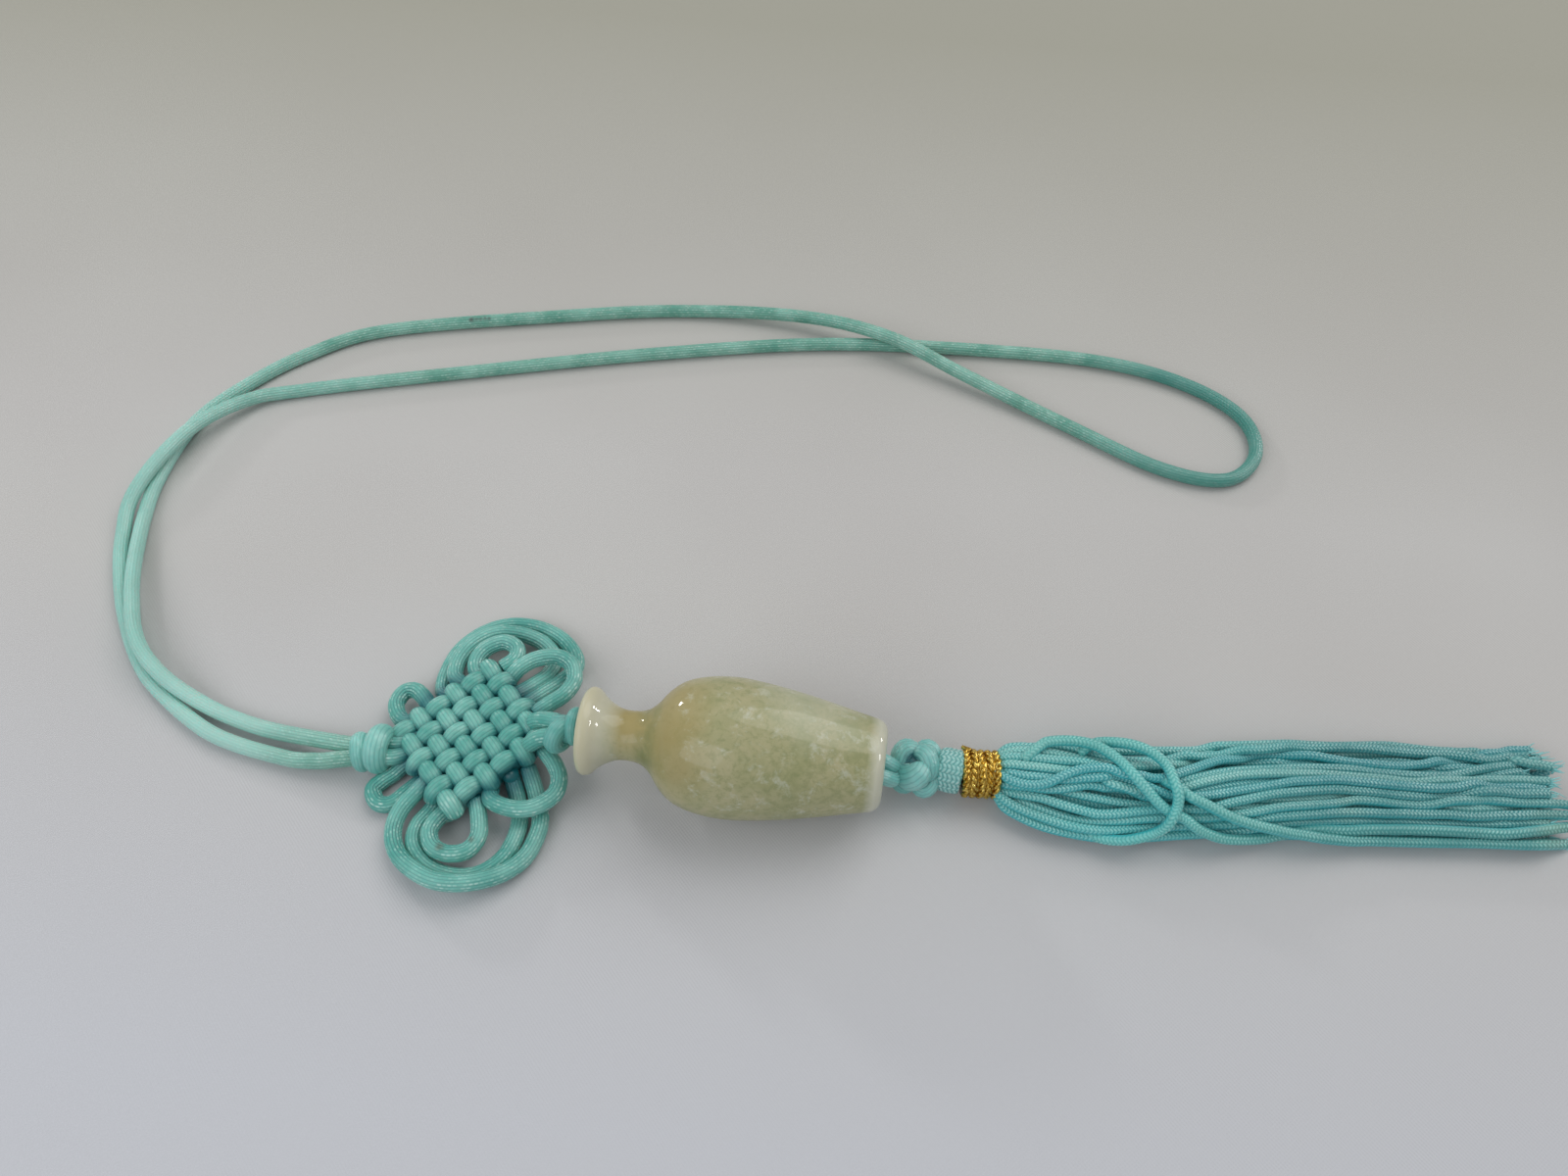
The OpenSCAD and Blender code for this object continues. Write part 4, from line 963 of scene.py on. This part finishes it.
class NECKLACE_OT_vase(bpy.types.Operator):
    """Throws the glazed vase"""
    bl_idname = "necklace.vase"
    bl_label = "Vase"

    def execute(self, context):
        """Extrudes a circle along the vase's outline and closes the wall inside."""
        settings = context.scene.necklace_vase
        profile = self.profile(settings)
        bpy.ops.object.select_all(action="DESELECT")
        first_at, first_r = profile[0]
        axis = ((VASE_LOW.y + VASE_HIGH.y) / 2, (VASE_LOW.z + VASE_HIGH.z) / 2)
        bpy.ops.mesh.primitive_circle_add(vertices=128, radius=first_r, location=(first_at, *axis),
                                          rotation=(0, math.pi / 2, 0))
        vase = context.object
        vase.name = "vase_glazed"
        bpy.ops.object.transform_apply(location=True, rotation=True, scale=True)
        bpy.ops.object.mode_set(mode="EDIT")
        bpy.ops.mesh.select_all(action="SELECT")
        for (at, r), (next_at, next_r) in zip(profile, profile[1:] + profile[:1]):
            bpy.ops.mesh.extrude_region_move(TRANSFORM_OT_translate={"value": (next_at - at, 0, 0)})
            share = next_r / r
            bpy.ops.transform.resize(value=(1, share, share), center_override=(next_at, *axis))
        bpy.ops.mesh.select_all(action="SELECT")
        bpy.ops.mesh.remove_doubles(threshold=0.005 * MM)
        bpy.ops.mesh.normals_make_consistent(inside=False)
        bpy.ops.object.mode_set(mode="OBJECT")
        bpy.ops.object.shade_smooth_by_angle(angle=math.radians(50))
        dress(vase, glaze_material(settings.cream, settings.sage), "glaze", "vase")
        return {"FINISHED"}

    def profile(self, settings):
        """Outline of the wall as places along the model's X and radii: rim, outside, foot, inside."""
        lip_at = VASE_LOW.x + RIM_R
        length = VASE_HIGH.x - lip_at
        belly_r = (VASE_HIGH.z - VASE_LOW.z) / 2
        rows = [(far * length, radius * belly_r, 0) for far, radius in VASE_OUTLINE]
        outer = [(p[0], p[1]) for p in smooth_line(rows, 0.7 * MM)]
        turn = [math.radians(a) for a in range(180, 90, -9)]
        rim = [(outer[0][0] + RIM_R * math.cos(a), outer[0][1] - RIM_R + RIM_R * math.sin(a)) for a in turn]
        foot_at, foot_r = length - FOOT_R, outer[-1][1] - FOOT_R - 0.2 * MM
        turn = [math.radians(a) for a in range(75, -1, -15)]
        foot = [(foot_at + FOOT_R * math.cos(a), foot_r + FOOT_R * math.sin(a)) for a in turn]
        floor_at = length - settings.base
        bore = settings.bore / 2
        inner = [(x, max(bore, r - settings.wall)) for x, r in reversed(outer) if x < floor_at]
        closing = [(length, bore), (floor_at, bore), (floor_at, inner[0][1])]
        return [(lip_at + x, r) for x, r in rim + outer + foot + closing + inner]


class NECKLACE_OT_button_knot(bpy.types.Operator):
    """Ties the button knot under the vase"""
    bl_idname = "necklace.button_knot"
    bl_label = "Button knot"

    def execute(self, context):
        """Builds the knot's lobes over a ball, with the two cords that enter it."""
        cord = context.scene.necklace_cord
        parts = [rope(self.lobe(front, *row), cord) for row in BUTTON_LOBES for front in (1, -1)]
        parts += [rope(places(link), cord, BUTTON_LINK_D / 2 * MM, 0.8) for link in BUTTON_LINKS]
        shares = np.linspace(-0.98, 0.98, 11)
        core = places([BUTTON_AT + (BUTTON_CORE[0] * share, 0, 0) for share in shares])
        radius = BUTTON_CORE[1] * MM * np.sqrt(1 - shares ** 2)
        parts.append(rope(np.column_stack([core, radius]), cord, depth=0.5))
        # Painted shade in the creases at the middle of the knot
        inside = [(BUTTON_AT, 3.3, 0.5, 0.9, "00606c")]
        material = satin_cord_material("nylon_satin_button_knot", cord.button_colour, "92d4ce", "006c78",
                                       inside, fibres=0.0)
        dress(mesh_piece("button_knot_lobes", parts), material, "satin_cord", "button_knot")
        return {"FINISHED"}

    def lobe(self, front, right, upward, heading_deg, span_deg, thick, lift):
        """Route of one lobe over the knot, which dives in at both ends. The last column is the radius."""
        facing = np.array(BUTTON_FACES) / np.linalg.norm(BUTTON_FACES) * front
        across = np.cross(facing, (1, 0, 0))
        half = BUTTON_HALF - thick / 2
        heading = math.radians(heading_deg)
        out = np.array([right / half[0], upward / half[1], 0])
        out[2] = math.sqrt(max(1 - out @ out, 0.02))
        way = np.array([math.cos(heading) / half[0], math.sin(heading) / half[1], 0])
        way -= out * (way @ out) / (out @ out)
        way /= np.linalg.norm(way)
        rows = []
        for share in np.linspace(-1, 1, 15):
            angle = math.radians(span_deg) * share
            ball = (out * math.cos(angle) + way * math.sin(angle)) * (1 - LOBE_DIVE * share ** 4)
            ball = ball * half + (0, 0, lift)
            at = BUTTON_AT + ball[0] * np.array([1, 0, 0]) + ball[1] * across + ball[2] * facing
            rows.append([*places([at])[0], thick / 2 * MM * (1 - LOBE_TAPER * share ** 4)])
        return rows


class NECKLACE_OT_tassel_head(bpy.types.Operator):
    """Knits the tassel's head"""
    bl_idname = "necklace.tassel_head"
    bl_label = "Tassel head"

    def execute(self, context):
        """Builds the head as a knitted tube with a rounded shoulder."""
        tassel = context.scene.necklace_tassel
        route = [[*places([HEAD_FROM + (HEAD_TO - HEAD_FROM) * (share * 1.06 - 0.03)])[0],
                  tassel.head_thickness / 2 * width] for share, width in HEAD_SHOULDER]
        line = smooth_line(route, 0.33 * MM)
        part = swept(line, line[:, 3], HEAD_COLUMNS * 4, knitted(0.04, HEAD_COLUMNS), HEAD_COLUMNS)
        material = knitted_cord_material("knitted_rayon_head", tassel.head_colour, "cceeea", "3c9094")
        dress(mesh_piece("tassel_head_knit", [part]), material, "tassel_thread", "tassel_head")
        return {"FINISHED"}


class NECKLACE_OT_gold_binding(bpy.types.Operator):
    """Winds the gold thread round the tassel's neck"""
    bl_idname = "necklace.gold_binding"
    bl_label = "Gold binding"

    def execute(self, context):
        """Builds each turn as two plies twisted together, every second turn the other way."""
        tassel = context.scene.necklace_tassel
        way = (BINDING_TO - HEAD_TO) / np.linalg.norm(BINDING_TO - HEAD_TO)
        across = np.cross((0, 0, 1), way)
        across /= np.linalg.norm(across)
        upward = np.cross(way, across)
        pitch = np.linalg.norm(BINDING_TO - HEAD_TO) * MM / tassel.turns
        ply_r, ply_off = pitch * PLY_RADIUS, pitch * PLY_OFFSET
        ring_r = tassel.binding_thickness / 2 - ply_r - ply_off
        start = places([HEAD_TO])[0]
        shares = (0.1, 2, tassel.turns - 0.1)
        core = smooth_line([start + way * pitch * share for share in shares], pitch / 2)
        parts = [swept(core, ring_r, 32)]
        for k in range(tassel.turns):
            middle = start + way * pitch * (k + 0.5)
            for ply in (0, math.pi):
                angles = np.linspace(0, 2 * math.pi, 217)
                spin = angles * TWISTS * (1 if k % 2 else -1) + ply + k
                outward = np.outer(np.cos(angles), across) + np.outer(np.sin(angles), upward)
                lean = 0.08 * pitch * np.sin(angles * 2 + k)
                line = (middle + outward * (ring_r + ply_off * np.cos(spin))[:, None]
                        + np.outer(ply_off * np.sin(spin) + lean, way))
                parts.append(swept(line, ply_r, PLY_SIDES))
        loose_end = smooth_line(places([(54.2, 6.2, 6.4), (53.5, 6.5, 6.2), (52.9, 6.8, 6)]), 0.2 * MM)
        parts.append(swept(loose_end, ply_r, PLY_SIDES))
        dress(mesh_piece("gold_binding_threads", parts), gold_material(tassel.gold), "gold_thread",
              "gold_binding")
        return {"FINISHED"}


class NECKLACE_OT_tassel(bpy.types.Operator):
    """Lays the tassel's strands"""
    bl_idname = "necklace.tassel"
    bl_label = "Tassel"

    def execute(self, context):
        """Settles the strands on each other and on the floor, then lays the loose ones round them."""
        tassel = context.scene.necklace_tassel
        radius = tassel.strand_thickness / 2
        step = tassel.stitch / ROWS_PER_STITCH
        lines = [smooth_line(line, step, 4) for line in self.settled(tassel)]
        loose = []
        for route in LOOSE_STRANDS:
            line = smooth_line(places(route), step)
            loose.append(self.draped(line, [each[:, :3] for each in lines] + loose, radius))
        draw = np.random.default_rng(tassel.seed + 2)
        parts = [self.knit(line, line[:, 3], STRAND_RELIEF, draw.uniform()) for line in lines]
        # Paler at the binding, painted light where the light from the back left falls on the fan; paler at
        # the front bulge, deeper towards the ends, and marked near them
        stains_and_painted_light = [((63, 4, 6), 6, 5, 0.45, "aee4dc"), ((135, 11, 3), 42, 14, 0.75, "1c7a7e"),
                  ((76, 0, 5), 9, 5, 0.45, "74dcdc"), ((133.1, 6.4, 2), 1, 0.6, 0.85, "c98f2e"),
                  ((136, 7, 2.5), 3.5, 2.5, 0.2, "c6b45e"), ((108.1, 5.4, 4), 2, 1.6, 0.15, "b3b670")]
        veils = [((135, 11, 3), 42, 14, 0.24, "1f7c80")]
        material = knitted_cord_material("knitted_rayon_strands", tassel.strand_colour, "bcefe9", "1f8a94",
                                         stains_and_painted_light, STRAND_COLUMNS, veils=veils)
        half = len(parts) // 2
        for name, some in (("tassel_strands_under", parts[:half]), ("tassel_strands_top", parts[half:])):
            dress(mesh_piece(name, some, "tone"), material, "tassel_thread", "tassel")
        parts = [self.knit(line, radius * LOOSE_WIDTH, LOOSE_RELIEF, 0.5) for line in loose]
        over = mesh_piece("tassel_strands_loose", parts, "tone")
        material = knitted_cord_material("knitted_rayon_loose_strands", tassel.loose_colour, "a2e4dc",
                                         "46a6a2", stains_and_painted_light, STRAND_COLUMNS, 0.08 * MM)
        dress(over, material, "tassel_thread", "tassel")
        fibres = mesh_piece("tassel_fibre_ends", self.frayed(lines + loose, tassel))
        dress(fibres, fibre_material(), "tassel_thread")
        return {"FINISHED"}

    def knit(self, line, radius, depth, tone):
        """A knitted strand along a line, with one tone for the whole of it."""
        relief = knitted(depth, STRAND_COLUMNS)
        corners, faces, uv, bunched = swept(line, radius, STRAND_COLUMNS * 2, relief, STRAND_COLUMNS)
        return corners, faces, uv, np.full_like(bunched, tone)

    def draped(self, line, below, radius):
        """A loose strand's line, lifted wherever it crosses the strands that lie under it."""
        under = np.vstack(below)
        apart = 2 * radius
        lift = np.zeros(len(line))
        for k, point in enumerate(line):
            gap = np.hypot(under[:, 0] - point[0], under[:, 1] - point[1])
            near = gap < apart
            if near.any():
                least = under[near, 2] + np.sqrt(apart ** 2 - gap[near] ** 2)
                lift[k] = np.clip(least.max() - point[2], 0, MOST_LIFT)
        kernel = np.hanning(2 * LIFT_SPREAD + 3)[1:-1]
        lift = np.convolve(np.pad(lift, LIFT_SPREAD, mode="edge"), kernel / kernel.sum(), "valid")
        # A lifted place moves along the line of sight, and so keeps its place in the picture
        sight = np.array(CAMERA_AT) - line
        return line + sight * (lift / sight[:, 2])[:, None]

    def frayed(self, lines, tassel):
        """Fibres that stand out of the cut ends of the strands."""
        draw = np.random.default_rng(tassel.seed + 1)
        parts = []
        for line in lines:
            tip, ahead = line[-1, :3], line[-1, :3] - line[-4, :3]
            ahead /= np.linalg.norm(ahead)
            for _ in range(FIBRES):
                start = tip - ahead * 0.3 * MM + draw.normal(0, 0.3, 3) * MM
                start[2] = max(start[2], 0.2 * MM)
                bend = ahead + draw.normal(0, 0.25, 3)
                reach = draw.uniform(0.8, 2.2) * MM
                far = start + bend * reach
                far[2] = max(far[2], 0.12 * MM)
                route = np.column_stack([[start, (start + far) / 2 + draw.normal(0, 0.1, 3) * MM, far],
                                         FIBRE_RADII])
                fibre = smooth_line(route, reach / 4)
                parts.append(swept(fibre, fibre[:, 3], 4, None, 8))
        return parts

    def wanted(self, x, r, hidden, draw):
        """Places across and up that the strands want at each place along, the hidden strands first."""
        front, back, high = (np.interp(x, TASSEL_SECTIONS[:, 0], TASSEL_SECTIONS[:, c]) for c in (1, 2, 3))
        # Each hidden strand keeps its place in its row: a share of the width and of the height
        share = np.concatenate([(np.arange(n) + 0.5) / n for n in UNDER_ROWS])
        level = np.concatenate([np.full(n, k / len(UNDER_ROWS) * 0.9) for k, n in enumerate(UNDER_ROWS)])
        width = np.concatenate([np.full(n, n / max(UNDER_ROWS)) for n in UNDER_ROWS])
        pick = np.arange(hidden) % len(share)
        across = (0.5 + (share - 0.5) * width)[pick][:, None]
        level = level[pick][:, None]
        # Neighbours wave together, with a little of their own
        own = draw.uniform(0.2, 0.7, hidden)[:, None] * np.sin(
            2 * np.pi * x / draw.uniform(16, 40, hidden)[:, None] + draw.uniform(0, 6.3, hidden)[:, None])
        loosen = np.interp(x, [59, 68, 85], [0.0, 0.35, 1.0])
        half_width = (back - front) / 2 - r
        want_y = (front + back) / 2 + half_width * 2 * (across - 0.5) + own * loosen
        dome = np.sqrt(np.clip(1 - (2 * across - 1) ** 2 * 0.8, 0, 1))
        want_z = r + (high - 2 * r) * level * dome + 0.25 * np.roll(own, 7, 1) * loosen
        tops = [np.array(route) for route in TOP_STRANDS]
        return [np.vstack([want] + [np.interp(x, route[:, 0], route[:, column]) for route in tops])
                for want, column in ((want_y, 1), (want_z, 2))]

    def settled(self, tassel):
        """Lines of the strands, with their radius, pushed apart at each place along the tassel."""
        draw = np.random.default_rng(tassel.seed)
        hidden = tassel.strands - len(TOP_STRANDS)
        x = np.arange(56.5, 143.01, 0.75)
        # The binding squeezes the strands, and holds them together at the start
        r = tassel.strand_thickness / MM / 2 * np.interp(x, [57, 58.6, 59.6], [0.7, 0.8, 1.0])
        neck = np.interp(x, [56.5, 58.2, 59.2, 60.2, 61.2], [2.2, 2.7, 4.2, 6, 30])
        want_y, want_z = self.wanted(x, r, hidden, draw)
        hold = np.where(np.arange(tassel.strands) < hidden, HOLD_UNDER, HOLD_TOP)[:, None]
        y, z = want_y.copy(), want_z.copy()
        for step in range(SETTLE_STEPS):
            ease = 1 if step < SETTLE_STEPS - GENTLE_STEPS else GENTLE_EASE
            y += ease * hold * (want_y - y)
            z += ease * 0.5 * hold * (want_z - z)
            dy, dz = y[:, None] - y[None], z[:, None] - z[None]
            gap = np.sqrt(dy ** 2 + dz ** 2) + 1e-6
            push = np.clip(STRAND_GAP * r - gap, 0, None) * PUSH_SHARE
            np.einsum("iik->ik", push)[:] = 0
            y += (push * dy / gap).sum(1)
            z += (push * dz / gap).sum(1)
            away = np.hypot(y - BINDING_TO[1], z - BINDING_TO[2])
            inward = np.minimum(neck / np.maximum(away, 0.01), 1)
            y = BINDING_TO[1] + (y - BINDING_TO[1]) * inward
            z = np.maximum(BINDING_TO[2] + (z - BINDING_TO[2]) * inward, r)
            for each in (y, z):
                each[:, 1:-1] += SMOOTHING * (each[:, 2:] + each[:, :-2] - 2 * each[:, 1:-1])
        z = np.maximum(z, r)
        ends = np.concatenate([draw.uniform(134, 138.5, hidden), [route[-1][0] for route in TOP_STRANDS]])
        lines = []
        for k, end in enumerate(ends):
            keep = x <= end
            line = places(np.column_stack([x[keep], y[k, keep], z[k, keep]]))
            lines.append(np.column_stack([line, r[keep] * MM]))
        return lines


class NECKLACE_PT_panel(bpy.types.Panel):
    """Lists the steps of the necklace"""
    bl_idname = "NECKLACE_PT_panel"
    bl_label = "Tassel necklace"
    bl_space_type = "VIEW_3D"
    bl_region_type = "UI"
    bl_category = "Necklace"

    def draw(self, context):
        """Draws a button for each step and the settings under them."""
        for step in STEPS:
            self.layout.operator(step.bl_idname)
        for settings in GROUPS:
            group = getattr(context.scene, settings)
            box = self.layout.box()
            for name in group.__annotations__:
                box.prop(group, name)


STEPS = (NECKLACE_OT_stage, NECKLACE_OT_neck_cord, NECKLACE_OT_small_knots, NECKLACE_OT_butterfly_knot,
         NECKLACE_OT_pendant_cords, NECKLACE_OT_vase, NECKLACE_OT_button_knot, NECKLACE_OT_tassel_head,
         NECKLACE_OT_gold_binding, NECKLACE_OT_tassel)
GROUPS = {"necklace_cord": CordSettings, "necklace_vase": VaseSettings, "necklace_tassel": TasselSettings,
          "necklace_stage": StageSettings}


def register():
    """Registers the classes and hangs the settings on the scene."""
    for each in (*GROUPS.values(), *STEPS, NECKLACE_PT_panel):
        bpy.utils.register_class(each)
    for name, group in GROUPS.items():
        setattr(bpy.types.Scene, name, PointerProperty(type=group))


def unregister():
    """Takes the settings and the classes away again."""
    for name in GROUPS:
        delattr(bpy.types.Scene, name)
    for each in reversed((*GROUPS.values(), *STEPS, NECKLACE_PT_panel)):
        bpy.utils.unregister_class(each)


def main():
    """Builds the whole necklace."""
    register()
    for step in STEPS:
        group, name = step.bl_idname.split(".")
        getattr(getattr(bpy.ops, group), name)()


if __name__ == "__main__":
    main()
